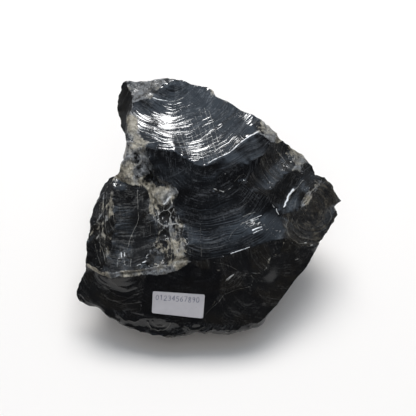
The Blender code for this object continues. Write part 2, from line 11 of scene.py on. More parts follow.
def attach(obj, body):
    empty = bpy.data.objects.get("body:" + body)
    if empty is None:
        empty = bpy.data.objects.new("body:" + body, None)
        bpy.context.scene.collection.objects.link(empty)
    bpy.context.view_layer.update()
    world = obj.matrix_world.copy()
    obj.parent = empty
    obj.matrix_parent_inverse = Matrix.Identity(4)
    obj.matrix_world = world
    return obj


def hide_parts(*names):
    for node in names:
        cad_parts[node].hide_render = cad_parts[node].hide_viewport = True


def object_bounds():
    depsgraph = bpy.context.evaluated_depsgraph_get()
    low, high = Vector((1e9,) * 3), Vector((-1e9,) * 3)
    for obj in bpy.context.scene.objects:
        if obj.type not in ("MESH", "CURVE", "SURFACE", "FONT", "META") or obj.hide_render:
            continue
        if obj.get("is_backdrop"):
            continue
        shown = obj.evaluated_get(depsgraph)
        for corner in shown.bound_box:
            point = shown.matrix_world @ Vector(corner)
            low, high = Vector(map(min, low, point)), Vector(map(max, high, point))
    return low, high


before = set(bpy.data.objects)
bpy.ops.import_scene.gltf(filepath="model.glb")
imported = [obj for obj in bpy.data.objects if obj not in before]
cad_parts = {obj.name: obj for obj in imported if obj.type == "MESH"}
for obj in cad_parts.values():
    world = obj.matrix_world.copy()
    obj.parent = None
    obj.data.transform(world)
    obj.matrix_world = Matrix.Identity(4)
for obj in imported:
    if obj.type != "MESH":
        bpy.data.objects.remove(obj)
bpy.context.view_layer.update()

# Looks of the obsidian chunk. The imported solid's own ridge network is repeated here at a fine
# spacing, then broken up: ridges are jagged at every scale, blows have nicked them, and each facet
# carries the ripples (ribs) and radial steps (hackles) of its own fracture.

UNIT = 0.000745
EYE_DISTANCE = 0.80
EYE_ELEVATION = 50.0
SHEET_CENTRE = (208.0, 208.0)
REST_Z = -119.0
ORIGIN_SHIFT = (-0.00177, -0.01445)

RIDGE_STEP = 0.00085
SEEN_STEP = 0.00088
HIDDEN_STEP = 0.0013

SIN_E = math.sin(math.radians(EYE_ELEVATION))
COS_E = math.cos(math.radians(EYE_ELEVATION))
EYE_UNITS = EYE_DISTANCE / UNIT


def plan(x, y, z):
    """A point given in plan, in sheet units."""
    return np.array([x * UNIT + ORIGIN_SHIFT[0], y * UNIT + ORIGIN_SHIFT[1], (z - REST_Z) * UNIT])


def spot(x, y, w):
    """A point given on the working sheet, w units towards the eye."""
    k = 1.0 - w / EYE_UNITS
    u, v = (x - SHEET_CENTRE[0]) * k, (SHEET_CENTRE[1] - y) * k
    return plan(u, v * SIN_E - w * COS_E, v * COS_E + w * SIN_E)


EYE = plan(0, 0, 0) + EYE_DISTANCE * np.array([0.0, -COS_E, SIN_E])

# Corners where ridges meet. S corners lie on the outline that the eye sees, V corners inside it.
CORNERS = {
    "S1": spot(122.2, 83.0, -38),
    "S2": spot(126.1, 80.9, -35.5),
    "S3": spot(173.5, 78.8, -35),
    "S4": spot(261.8, 120.0, -20.6),
    "S4b": spot(283.4, 140.8, -22.8),
    "S5": spot(307.0, 160.4, -25),
    "S6": spot(315.0, 174.9, -26),
    "S7": spot(324.5, 177.2, -28),
    "S8": spot(341.4, 200.4, -31),
    "S9": spot(318.3, 245.6, -15),
    "S10": spot(258.0, 323.4, -5.0),
    "S12": spot(76.6, 291.2, -9),
    "S13": spot(85.8, 263.5, -3),
    "S14": spot(115.5, 175.5, -14),
    "S15": spot(126.4, 141.5, -13),
    "V1": spot(132.3, 103.0, -29),
    "V2": spot(142.9, 146.5, -9),
    "V4": spot(206.0, 166.0, -1.7),
    "V5": spot(265.5, 136.0, -14.6),
    "V6": spot(270.4, 141.0, -16.5),
    "V7": spot(265.8, 194.8, -5),
    "V8": spot(264.5, 154.0, -11),
    "V9": spot(294.7, 212.6, -9),
    "V10": spot(283.5, 214.0, -7.5),
    "V11": spot(285.7, 238.4, 0),
    "V12": spot(190.0, 261.5, 12.5),
    "V14": spot(146.5, 274.5, 11),
    "V15": spot(140.0, 313.0, 0.5),
    "V16": spot(221.8, 270.6, 10.5),
    "V17": spot(261.6, 274.7, 5.5),
    "V18": spot(251.4, 284.9, 4.5),
    "V19": spot(220.0, 290.5, 6.5),
    "V22": spot(199.0, 323.4, 0),
    "V23": spot(249.0, 323.8, -3),
    "V24": spot(143.0, 185.5, -7),
    "V25": spot(148.5, 190.5, -3.5),
    "V26": spot(154.2, 175.2, -5),
    "V28": spot(146.5, 269.0, 12.5),
    "V29": spot(101.6, 271.5, 6),
    # hidden corners, in plan
    "M1": plan(-90, 75, -22),
    "M2": plan(-62, 124, 2),
    "M3": plan(6, 131, -14),
    "M4": plan(64, 99, -24),
    "M5": plan(104, 55, -50),
    "U1": plan(-108, 8, -74),
    "U2": plan(93, -4, -93),
    "B1": plan(-66, -40, REST_Z),
    "B2": plan(-16, -53, REST_Z),
    "B3": plan(36, -60, REST_Z),
    "B4": plan(61, -31, REST_Z),
    "B5": plan(73, 5, REST_Z),
    "B6": plan(46, 39, REST_Z),
    "B7": plan(4, 54, REST_Z),
    "B8": plan(-40, 48, REST_Z),
    "B9": plan(-66, 27, REST_Z),
    "B10": plan(-79, -13, REST_Z),
}

# Ridges between corners, with the points they pass on the way
RIDGES = {
    # outline, clockwise as the eye sees it
    ("S1", "S2"): [],
    ("S2", "S3"): [spot(144.2, 81.2, -36), spot(151.8, 79.3, -37), spot(161.4, 78.7, -36)],
    ("S3", "S4"): [
        spot(182.4, 80.1, -35),
        spot(192.0, 84.5, -34),
        spot(207.3, 87.2, -33.5),
        spot(213.1, 90.6, -32),
        spot(215.9, 96.4, -30),
        spot(227.6, 101.4, -28),
        spot(241.8, 110.8, -23.6),
        spot(251.8, 114.1, -21.6),
    ],
    ("S4", "S4b"): [spot(270.2, 126.2, -21)],
    ("S4b", "S5"): [spot(293.6, 149.6, -24.8)],
    ("S5", "S6"): [spot(312.4, 166.3, -26)],
    ("S6", "S7"): [],
    ("S7", "S8"): [spot(331.4, 184.0, -29.5), spot(335.0, 191.6, -30.5)],
    ("S8", "S9"): [spot(334.4, 206.4, -29.5), spot(337.6, 216.9, -27.5), spot(329.4, 228.6, -22.5)],
    ("S9", "S10"): [
        spot(306.8, 266.6, -12.5),
        spot(289.6, 287.7, -9.5),
        spot(277.2, 304.9, -6.8),
        spot(264.7, 318.3, -5.5),
    ],
    ("S10", "S12"): [
        spot(251.3, 330.3, -5.5),
        spot(238.0, 332.3, -4.7),
        spot(228.4, 333.6, -4.5),
        spot(213.1, 333.6, -3.9),
        spot(201.6, 333.6, -3.5),
        spot(184.4, 334.5, -4.1),
        spot(172.9, 336.8, -5.3),
        spot(159.5, 335.5, -5.5),
        spot(144.2, 333.6, -6.2),
        spot(136.5, 329.8, -5.9),
        spot(123.1, 325.0, -6.1),
        spot(104.0, 312.5, -5.4),
        spot(84.9, 303.9, -9.4),
        spot(78.2, 299.2, -11),
    ],
    ("S12", "S13"): [spot(80.4, 281.6, -7.5), spot(85.8, 270.5, -5)],
    ("S13", "S14"): [
        spot(87.0, 252.0, -5.5),
        spot(89.7, 232.2, -9),
        spot(92.5, 213.1, -11),
        spot(96.4, 199.7, -13),
        spot(102.1, 188.2, -14),
        spot(108.8, 178.6, -15),
    ],
    ("S14", "S15"): [spot(123.1, 161.4, -15.5), spot(126.0, 149.9, -15)],
    ("S15", "S1"): [
        spot(125.2, 134.0, -19),
        spot(120.6, 125.0, -29),
        spot(118.5, 113.6, -38),
        spot(118.4, 98.3, -42),
    ],
    # upper left end
    ("S2", "V1"): [spot(131.4, 92.8, -32)],
    ("V1", "S3"): [spot(150.7, 98.9, -28), spot(155.9, 91.0, -30.5), spot(166.5, 82.3, -34)],
    ("V1", "S15"): [spot(129.6, 115.6, -24), spot(127.9, 127.9, -18.5)],
    # rim of the large upper scoop
    ("S15", "V2"): [spot(134.0, 144.5, -11)],
    ("V2", "V4"): [
        spot(156.6, 149.6, -7),
        spot(173.5, 151.0, -5.5),
        spot(180.4, 155.0, -4.8),
        spot(190.0, 160.8, -3.2),
        spot(198.0, 165.2, -1.9),
    ],
    ("V4", "V5"): [
        spot(218.4, 159.6, -4.6),
        spot(229.5, 154.8, -6.3),
        spot(239.8, 145.6, -9.3),
        spot(249.0, 138.9, -11.1),
        spot(259.7, 133.6, -13.3),
    ],
    ("V5", "S4"): [spot(262.5, 128.0, -17.6)],
    ("V5", "V6"): [],
    ("V6", "S4b"): [spot(276.0, 142.5, -20.5)],
    # right middle scoop
    ("V6", "V8"): [spot(268.5, 147.0, -14.5)],
    ("S5", "V7"): [spot(297.0, 166.5, -19), spot(289.5, 172.6, -14), spot(276.5, 182.6, -8.5)],
    ("V8", "V7"): [
        spot(259.7, 162.7, -8.5),
        spot(253.6, 170.3, -6.5),
        spot(249.0, 178.0, -5.5),
        spot(246.5, 184.8, -4.5),
        spot(255.0, 192.5, -4.5),
    ],
    ("V4", "V8"): [spot(220.0, 172.0, -2.4), spot(235.0, 170.0, -3.7), spot(250.0, 162.0, -6.2)],
    # right end: trough, narrow ridge and dark scoop
    ("S6", "V9"): [spot(312.4, 183.9, -20.5), spot(303.3, 198.3, -14.5)],
    ("S7", "V9"): [spot(312.9, 193.5, -20), spot(304.3, 204.5, -14.5)],
    ("V7", "V10"): [spot(272.0, 203.0, -6.5), spot(278.0, 209.0, -8)],
    ("V10", "V9"): [],
    ("V10", "V11"): [spot(282.7, 224.0, -4.5)],
    ("S9", "V11"): [spot(311.0, 248.0, -11), spot(302.0, 247.5, -7), spot(293.0, 243.5, -3.5)],
    # edge between the upper scoops and the front face
    ("V11", "V12"): [
        spot(280.5, 239.4, 2),
        spot(262.9, 244.0, 6.2),
        spot(250.6, 248.2, 8.2),
        spot(236.6, 253.3, 10.2),
        spot(220.8, 258.2, 12),
        spot(201.5, 261.0, 12.6),
    ],
    ("V12", "V28"): [spot(185.0, 258.8, 13.5), spot(175.2, 261.2, 14), spot(161.2, 266.5, 14)],
    ("V28", "V29"): [spot(129.3, 271.5, 11), spot(111.1, 273.5, 8.5)],
    ("V29", "S13"): [spot(93.0, 267.3, 1)],
    ("S13", "V14"): [
        spot(93.0, 270.0, -1.5),
        spot(101.6, 275.5, 3),
        spot(111.1, 278.0, 6.5),
        spot(129.3, 276.5, 10),
    ],
    ("V14", "V12"): [spot(164.7, 273.6, 11.5), spot(177.0, 270.0, 12)],
    # left scoop and the rough patches around it
    ("S14", "V29"): [
        spot(112.9, 196.7, -7),
        spot(114.8, 213.6, -4),
        spot(114.4, 228.9, -1),
        spot(112.0, 245.0, 2),
        spot(107.0, 259.0, 4.5),
    ],
    ("S14", "V24"): [spot(122.0, 181.0, -12), spot(130.0, 184.5, -9.5)],
    ("V24", "V25"): [],
    ("V25", "V28"): [
        spot(149.5, 197.0, -2.5),
        spot(153.5, 216.6, 1),
        spot(158.8, 228.9, 3.5),
        spot(157.3, 236.5, 5),
        spot(150.5, 250.0, 8),
        spot(147.0, 260.0, 11),
    ],
    ("V25", "V26"): [],
    ("V26", "V12"): [
        spot(165.0, 181.0, -2),
        spot(175.2, 187.5, 0.5),
        spot(177.9, 192.8, 1),
        spot(173.5, 201.5, 1),
        spot(176.1, 215.6, 3),
        spot(184.0, 224.3, 4),
        spot(182.2, 234.9, 7.5),
        spot(187.5, 245.4, 11.5),
    ],
    ("V2", "V26"): [spot(149.0, 155.0, -8), spot(152.0, 165.0, -6.6)],
    # front face
    ("V14", "V15"): [spot(145.0, 285.0, 8), spot(142.0, 300.0, 4)],
    ("V12", "V16"): [spot(200.0, 268.0, 11.5), spot(211.0, 269.0, 11)],
    ("V16", "V17"): [spot(245.9, 271.9, 8)],
    ("V17", "V18"): [],
    ("V18", "V19"): [spot(235.0, 287.5, 5.7)],
    ("V19", "V16"): [],
    ("V17", "V11"): [
        spot(265.0, 266.0, 6),
        spot(268.0, 262.4, 5.5),
        spot(270.8, 257.6, 5),
        spot(278.4, 253.3, 2),
        spot(283.0, 246.0, 0.5),
    ],
    ("V19", "V22"): [spot(214.0, 304.0, 4), spot(204.5, 314.5, 2)],
    ("V18", "V23"): [spot(257.0, 293.0, 2.5), spot(262.0, 302.0, 0), spot(257.0, 313.0, -2)],
    # ridge above the undercut at the foot of the front face
    ("S12", "V15"): [spot(87.5, 301.0, -6.5), spot(105.1, 308.0, -3.5), spot(127.9, 311.1, -0.5)],
    ("V15", "V22"): [spot(152.4, 315.5, 1), spot(175.2, 320.3, 0.5)],
    ("V22", "V23"): [spot(227.8, 325.2, -2)],
    ("V23", "S10"): [],
    # hidden ridges
    ("S1", "M2"): [plan(-78, 129, 26)],
    ("M2", "M3"): [plan(-28, 131, -8)],
    ("M3", "S3"): [plan(-12, 134, 24)],
    ("M3", "M4"): [plan(36, 119, -14)],
    ("M4", "S4"): [plan(61, 97, 8)],
    ("M4", "M5"): [plan(86, 80, -33)],
    ("M5", "S8"): [plan(122, 46, -40)],
    ("U2", "S9"): [plan(105, -4, -72)],
    ("U2", "M5"): [plan(101, 24, -74)],
    ("U2", "B5"): [],
    ("M1", "M2"): [plan(-83, 103, -9)],
    ("M1", "S15"): [plan(-82, 69, 5)],
    ("M1", "U1"): [plan(-106, 44, -50)],
    ("M1", "B9"): [plan(-86, 50, -74)],
    ("U1", "B10"): [plan(-95, -3, -96)],
    ("U1", "S13"): [plan(-119, -14, -58)],
    ("B1", "S12"): [plan(-98, -54, -93)],
    ("B4", "S10"): [plan(60, -57, -106)],
    ("B7", "M3"): [plan(9, 92, -78)],
    # rim of the flat underneath
    ("B1", "B2"): [plan(-44, -56, REST_Z)],
    ("B2", "B3"): [plan(8, -63, REST_Z)],
    ("B3", "B4"): [plan(56, -46, REST_Z)],
    ("B4", "B5"): [plan(76, -15, REST_Z)],
    ("B5", "B6"): [plan(64, 29, REST_Z)],
    ("B6", "B7"): [plan(24, 57, REST_Z)],
    ("B7", "B8"): [plan(-16, 61, REST_Z)],
    ("B8", "B9"): [plan(-58, 45, REST_Z)],
    ("B9", "B10"): [plan(-84, 9, REST_Z)],
    ("B10", "B1"): [plan(-76, -29, REST_Z)],
}

# Facets: the loop of corners, and the height marks that dish or crown the surface. A mark is
# ("at", x, y, w), a sheet point that the surface passes through; ("by", x, y, d), a rise of d sheet
# units over the plain span there; or ("mid", d), a rise at the facet's middle.
FACETS = {
    # seen side
    "end_left": (["S1", "S2", "V1", "S15"], [("mid", -1.5)]),
    "cap_left": (["S2", "S3", "V1"], [("by", 144, 91, -0.8)]),
    "scoop_top": (
        ["V1", "S3", "S4", "V5", "V4", "V2", "S15"],
        [
            ("at", 145, 113, -24.7),
            ("at", 145, 126, -18.3),
            ("at", 145, 138, -12.5),
            ("at", 160, 104, -27.4),
            ("at", 160, 114, -24.0),
            ("at", 160, 126, -17.4),
            ("at", 160, 138, -11.5),
            ("at", 172, 92, -31.2),
            ("at", 185, 95, -30.6),
            ("at", 185, 110, -25.2),
            ("at", 185, 126, -18.8),
            ("at", 185, 142, -11.8),
            ("at", 185, 151, -7.6),
            ("at", 208, 157, -5.6),
            ("at", 215, 110, -25.4),
            ("at", 215, 125, -19.7),
            ("at", 213, 140, -13.1),
            ("at", 213, 150, -8.7),
            ("at", 228, 147, -9.6),
            ("at", 238, 120, -20.0),
            ("at", 238, 134, -14.7),
            ("at", 238, 140, -12.0),
            ("at", 252, 126, -16.2),
        ],
    ),
    "patch_right": (["S4", "S4b", "V6", "V5"], [("mid", 0.8)]),
    "band": (["V4", "V5", "V6", "V8"], [("by", 230, 163, 0.4), ("by", 252, 149, 0.4)]),
    "scoop_right": (
        ["V6", "S4b", "S5", "V7", "V8"],
        [("by", 272, 166, -3.5), ("by", 282, 158, -3.0)],
    ),
    "trough": (["S5", "S6", "V9", "V10", "V7"], [("by", 296, 186, -2.2), ("by", 284, 200, -1.8)]),
    "rib": (["S6", "S7", "V9"], []),
    "scoop_end": (
        ["S7", "S8", "S9", "V11", "V10", "V9"],
        [("by", 312, 220, -2.5), ("by", 325, 205, -1.5)],
    ),
    "bowl": (
        ["V2", "V4", "V8", "V7", "V10", "V11", "V12", "V26"],
        [
            ("at", 165, 165, -4.9),
            ("at", 180, 168, -3.2),
            ("at", 178, 178, -1.3),
            ("at", 206, 180, -0.8),
            ("at", 232, 184, -3.6),
            ("at", 200, 200, 2.0),
            ("at", 225, 205, 0.2),
            ("at", 255, 208, -4.2),
            ("at", 204, 220, 5.0),
            ("at", 232, 225, 3.2),
            ("at", 257, 218, -1.6),
            ("at", 257, 232, 4.3),
            ("at", 259, 239, 5.5),
            ("at", 206, 238, 8.6),
            ("at", 211, 250, 10.9),
            ("at", 236, 240, 7.4),
            ("at", 238, 248, 9.0),
        ],
    ),
    "rough_left": (["S14", "S15", "V2", "V26", "V25", "V24"], [("by", 132, 160, 1.5), ("by", 146, 178, -2.5)]),
    "rough_middle": (
        ["V25", "V26", "V12", "V28"],
        [("by", 165, 200, 1.5), ("by", 165, 215, -2.0), ("by", 164, 234, -1.5), ("by", 165, 252, -2.0)],
    ),
    "side_left": (["S13", "S14", "V29"], [("by", 101, 225, -0.8)]),
    "scoop_left": (
        ["S14", "V24", "V25", "V28", "V29"],
        [
            ("by", 132, 205, -4.5),
            ("by", 134, 225, -6.0),
            ("by", 130, 245, -5.5),
            ("by", 128, 258, -3.2),
        ],
    ),
    "bevel": (["S13", "V29", "V28", "V12", "V14"], []),
    "front_left": (["S12", "S13", "V14", "V15"], [("by", 115, 290, -3.5)]),
    "front_middle": (["V14", "V12", "V16", "V19", "V22", "V15"], []),
    "front_top": (["V12", "V11", "V17", "V16"], [("by", 245, 261, -1.0)]),
    "front_small": (["V16", "V17", "V18", "V19"], [("mid", -0.8)]),
    "front_low": (["V19", "V18", "V23", "V22"], [("mid", -1.5)]),
    "front_right": (
        ["V11", "S9", "S10", "V23", "V18", "V17"],
        [("by", 290, 262, -2.0), ("by", 275, 285, -2.8)],
    ),
    "foot": (["S12", "V15", "V22", "V23", "S10"], []),
    # hidden side
    "back_left": (["S1", "M2", "M3", "S3", "S2"], [("mid", -4.0)]),
    "back_middle": (["S3", "M3", "M4", "S4"], [("mid", -4.0)]),
    "back_right": (["S4", "M4", "M5", "S8", "S7", "S6", "S5", "S4b"], [("mid", -4.0)]),
    "side_right": (["S8", "M5", "U2", "S9"], [("mid", -4.0)]),
    "under_right": (["M3", "B7", "B6", "B5", "U2", "M5", "M4"], [("mid", -5.0)]),
    "under_back": (["M2", "M1", "B9", "B8", "B7", "M3"], [("mid", -6.0)]),
    "side_back": (["S15", "M1", "M2", "S1"], [("mid", -3.5)]),
    "side_low": (["S13", "U1", "M1", "S15", "S14"], [("mid", -5.0)]),
    "under_side": (["U1", "B10", "B9", "M1"], [("mid", -3.0)]),
    "under_left": (["S12", "B1", "B10", "U1", "S13"], [("mid", -4.0)]),
    "under_front": (["S10", "B4", "B3", "B2", "B1", "S12"], [("mid", -2.0)]),
    "under_end": (["S10", "S9", "U2", "B5", "B4"], [("mid", -4.5)]),
    "rest_flat": (["B1", "B2", "B3", "B4", "B5", "B6", "B7", "B8", "B9", "B10"], "flat"),
}

# Broad ripples: each facet's own, below

# How each facet broke. blow: where the fracture began, the centre of its ribs. wave and swell:
# length and height in mm of the broad ripples. rib, hackle, grit: heights in mm of the fine ribs,
# the radial steps and the pitting. rough: height in mm of the lumps. crust: how much weathered
# crust. dull: how far handling and dust have dulled the glass. line: how strongly hairlines show.
# chip: spacing, hollowness radius, tilt, stretch and turn (degrees) of the small overlapping
# scoops of a battered facet. spall: how steeply the tiny flat scars of crushed glass tilt. arc: how
# much dust lies in the ribs.
PLAIN = dict(
    blow=None, wave=9.0, swell=0.05, rib=0.10, hackle=0.04, grit=0.0, rough=0.0, crust=0.02, dull=0.2, line=0.12, chip=None, spall=0.0, arc=0.4
)
FRACTURE = {
    "end_left": dict(rib=0.05, crust=0.06, dull=0.45, rough=0.10, arc=0.25),
    "cap_left": dict(blow=spot(150, 66, -36), wave=4.5, swell=0.05, rib=0.16, rough=0.02, crust=0.50, grit=0.01, dull=0.8, arc=1.3),
    "scoop_top": dict(blow=spot(174, 74, -34), wave=7.0, swell=0.04, rib=0.19, hackle=0.05, dull=0.12, line=0.25, arc=1.0),
    "patch_right": dict(crust=0.55, grit=0.04, dull=0.6, spall=0.5, chip=(4.5, 14.0, 0.40, 1.3, 40)),
    "band": dict(blow=spot(190, 62, -34), wave=4.0, swell=0.03, rib=0.16, dull=0.15, line=0.2),
    "scoop_right": dict(blow=spot(297, 152, -27), wave=6.0, swell=0.08, rib=0.14, crust=0.06, dull=0.6, line=0.15, spall=0.05),
    "trough": dict(blow=spot(340, 222, -30), wave=5.0, swell=0.06, rib=0.14, dull=0.35, line=0.2, spall=0.1),
    "rib": dict(rough=0.08, crust=0.25, grit=0.03, dull=0.8, spall=0.2),
    "scoop_end": dict(blow=spot(309, 210, -20), wave=4.6, swell=0.16, rib=0.12, crust=0.14, dull=1.0, line=0.1, spall=0.08, arc=0.9),
    "bowl": dict(blow=spot(205, 158, 0), wave=8.0, swell=0.03, rib=0.15, hackle=0.05, dull=0.05, line=0.22, spall=0.03, arc=0.42),
    "rough_left": dict(crust=0.52, grit=0.07, dull=0.45, spall=0.8, chip=(4.2, 12.0, 0.58, 1.5, 60)),
    "rough_middle": dict(crust=0.24, grit=0.04, dull=0.6, spall=0.25, chip=(7.0, 14.0, 0.40, 1.9, 80)),
    "side_left": dict(crust=0.10, grit=0.02, dull=0.5, line=0.2, spall=0.25, chip=(7.0, 30.0, 0.22, 2.8, 85)),
    "scoop_left": dict(blow=spot(133, 150, -10), wave=6.0, swell=0.03, rib=0.17, hackle=0.05, dull=0.35, line=0.15, spall=0.08, arc=1.0),
    "bevel": dict(crust=0.68, grit=0.05, dull=0.25, spall=1.2, chip=(3.5, 12.0, 0.45, 1.6, 10)),
    "front_left": dict(blow=spot(120, 262, 8), wave=5.0, swell=0.10, rib=0.15, crust=0.04, dull=0.42, line=0.03, arc=0.28),
    "front_middle": dict(blow=spot(190, 225, 14), swell=0.02, rib=0.02, hackle=0.02, dull=0.15, line=0.0, arc=0.12),
    "front_top": dict(blow=spot(290, 240, 0), swell=0.04, rib=0.07, dull=0.45, line=0.04, arc=0.3),
    "front_small": dict(blow=spot(222, 268, 12), wave=4.0, swell=0.10, rib=0.10, dull=0.5, line=0.06, spall=0.20, arc=0.4),
    "front_low": dict(blow=spot(255, 280, 2), swell=0.05, rib=0.06, dull=0.42, line=0.03, arc=0.25),
    "front_right": dict(blow=spot(285, 236, 0), wave=10.0, swell=0.04, rib=0.07, dull=0.5, line=0.03, arc=0.28),
    "foot": dict(blow=spot(165, 296, 0), crust=-0.16, swell=0.02, rib=0.05, dull=0.12, spall=0.06, line=0.03, arc=0.28, chip=(6.0, 60.0, 0.06, 1.8, 5)),
    "back_left": dict(blow=plan(-60, 128, 40), wave=13.0, swell=0.5, rib=0.12),
    "back_middle": dict(blow=plan(20, 125, 50), wave=10.0, swell=0.35, rib=0.12),
    "back_right": dict(blow=plan(120, 46, -10), wave=9.0, swell=0.30, rib=0.12, crust=0.10, dull=0.5),
    "side_right": dict(blow=plan(128, 20, -40), wave=8.0, swell=0.25, rib=0.12, crust=0.08, dull=0.4),
    "under_right": dict(blow=plan(6, 131, -14), wave=15.0, swell=0.6, rib=0.12),
    "under_back": dict(blow=plan(-95, 75, -20), wave=16.0, swell=0.7, rib=0.12),
    "side_back": dict(crust=0.25, dull=0.6, chip=(9.0, 14.0, 0.30, 1.5, 30)),
    "side_low": dict(blow=plan(-84, 60, 30), wave=13.0, swell=0.5, rib=0.12),
    "under_side": dict(crust=0.2, dull=0.6, chip=(10.0, 16.0, 0.25, 1.4, 60)),
    "under_left": dict(blow=plan(-125, -45, -55), wave=10.0, swell=0.4, rib=0.12, dull=0.4),
    "under_front": dict(crust=0.15, dull=0.8, chip=(11.0, 16.0, 0.30, 1.5, 0)),
    "under_end": dict(blow=plan(110, -8, -52), wave=11.0, swell=0.5, rib=0.12, dull=0.5),
    "rest_flat": dict(swell=0.0, rib=0.02, hackle=0.0, crust=0.30, grit=0.05, dull=1.0),
}
HIDDEN = {
    "back_left", "back_middle", "back_right", "side_right", "under_right", "under_back",
    "side_back", "side_low", "under_side", "under_left", "under_front", "under_end", "rest_flat",
}
# Ridges that stay clean and keen, that are battered, that no blow has nicked, and that are too soft.
# The rest are in between.
CLEAN = {
    ("V11", "V12"), ("V4", "V5"), ("V2", "V4"), ("V12", "V16"), ("V16", "V17"), ("V19", "V22"),
    ("V18", "V19"), ("V19", "V16"), ("V14", "V15"), ("V18", "V23"), ("S12", "V15"), ("V15", "V22"), ("V22", "V23"),
    ("S9", "S10"), ("V23", "S10"), ("S3", "S4"),
}
BATTERED = {
    ("S4", "S4b"), ("S4b", "S5"), ("S14", "S15"), ("V2", "V26"), ("V25", "V26"), ("S14", "V24"),
    ("V24", "V25"), ("V25", "V28"), ("S10", "S12"),
}
WHOLE = {("S3", "S4"), ("V1", "S3"), ("S15", "S1"), ("S12", "S13"), ("S9", "S10"), ("V18", "V23"), ("V23", "S10"), ("S12", "V15"), ("V15", "V22"), ("V22", "V23"), ("V4", "V5"), ("V11", "V12")}
SOFT = {("V2", "V4"), ("V14", "V15"), ("V4", "V8"), ("V8", "V7"), ("V7", "V10"), ("V10", "V11"), ("V10", "V9")}


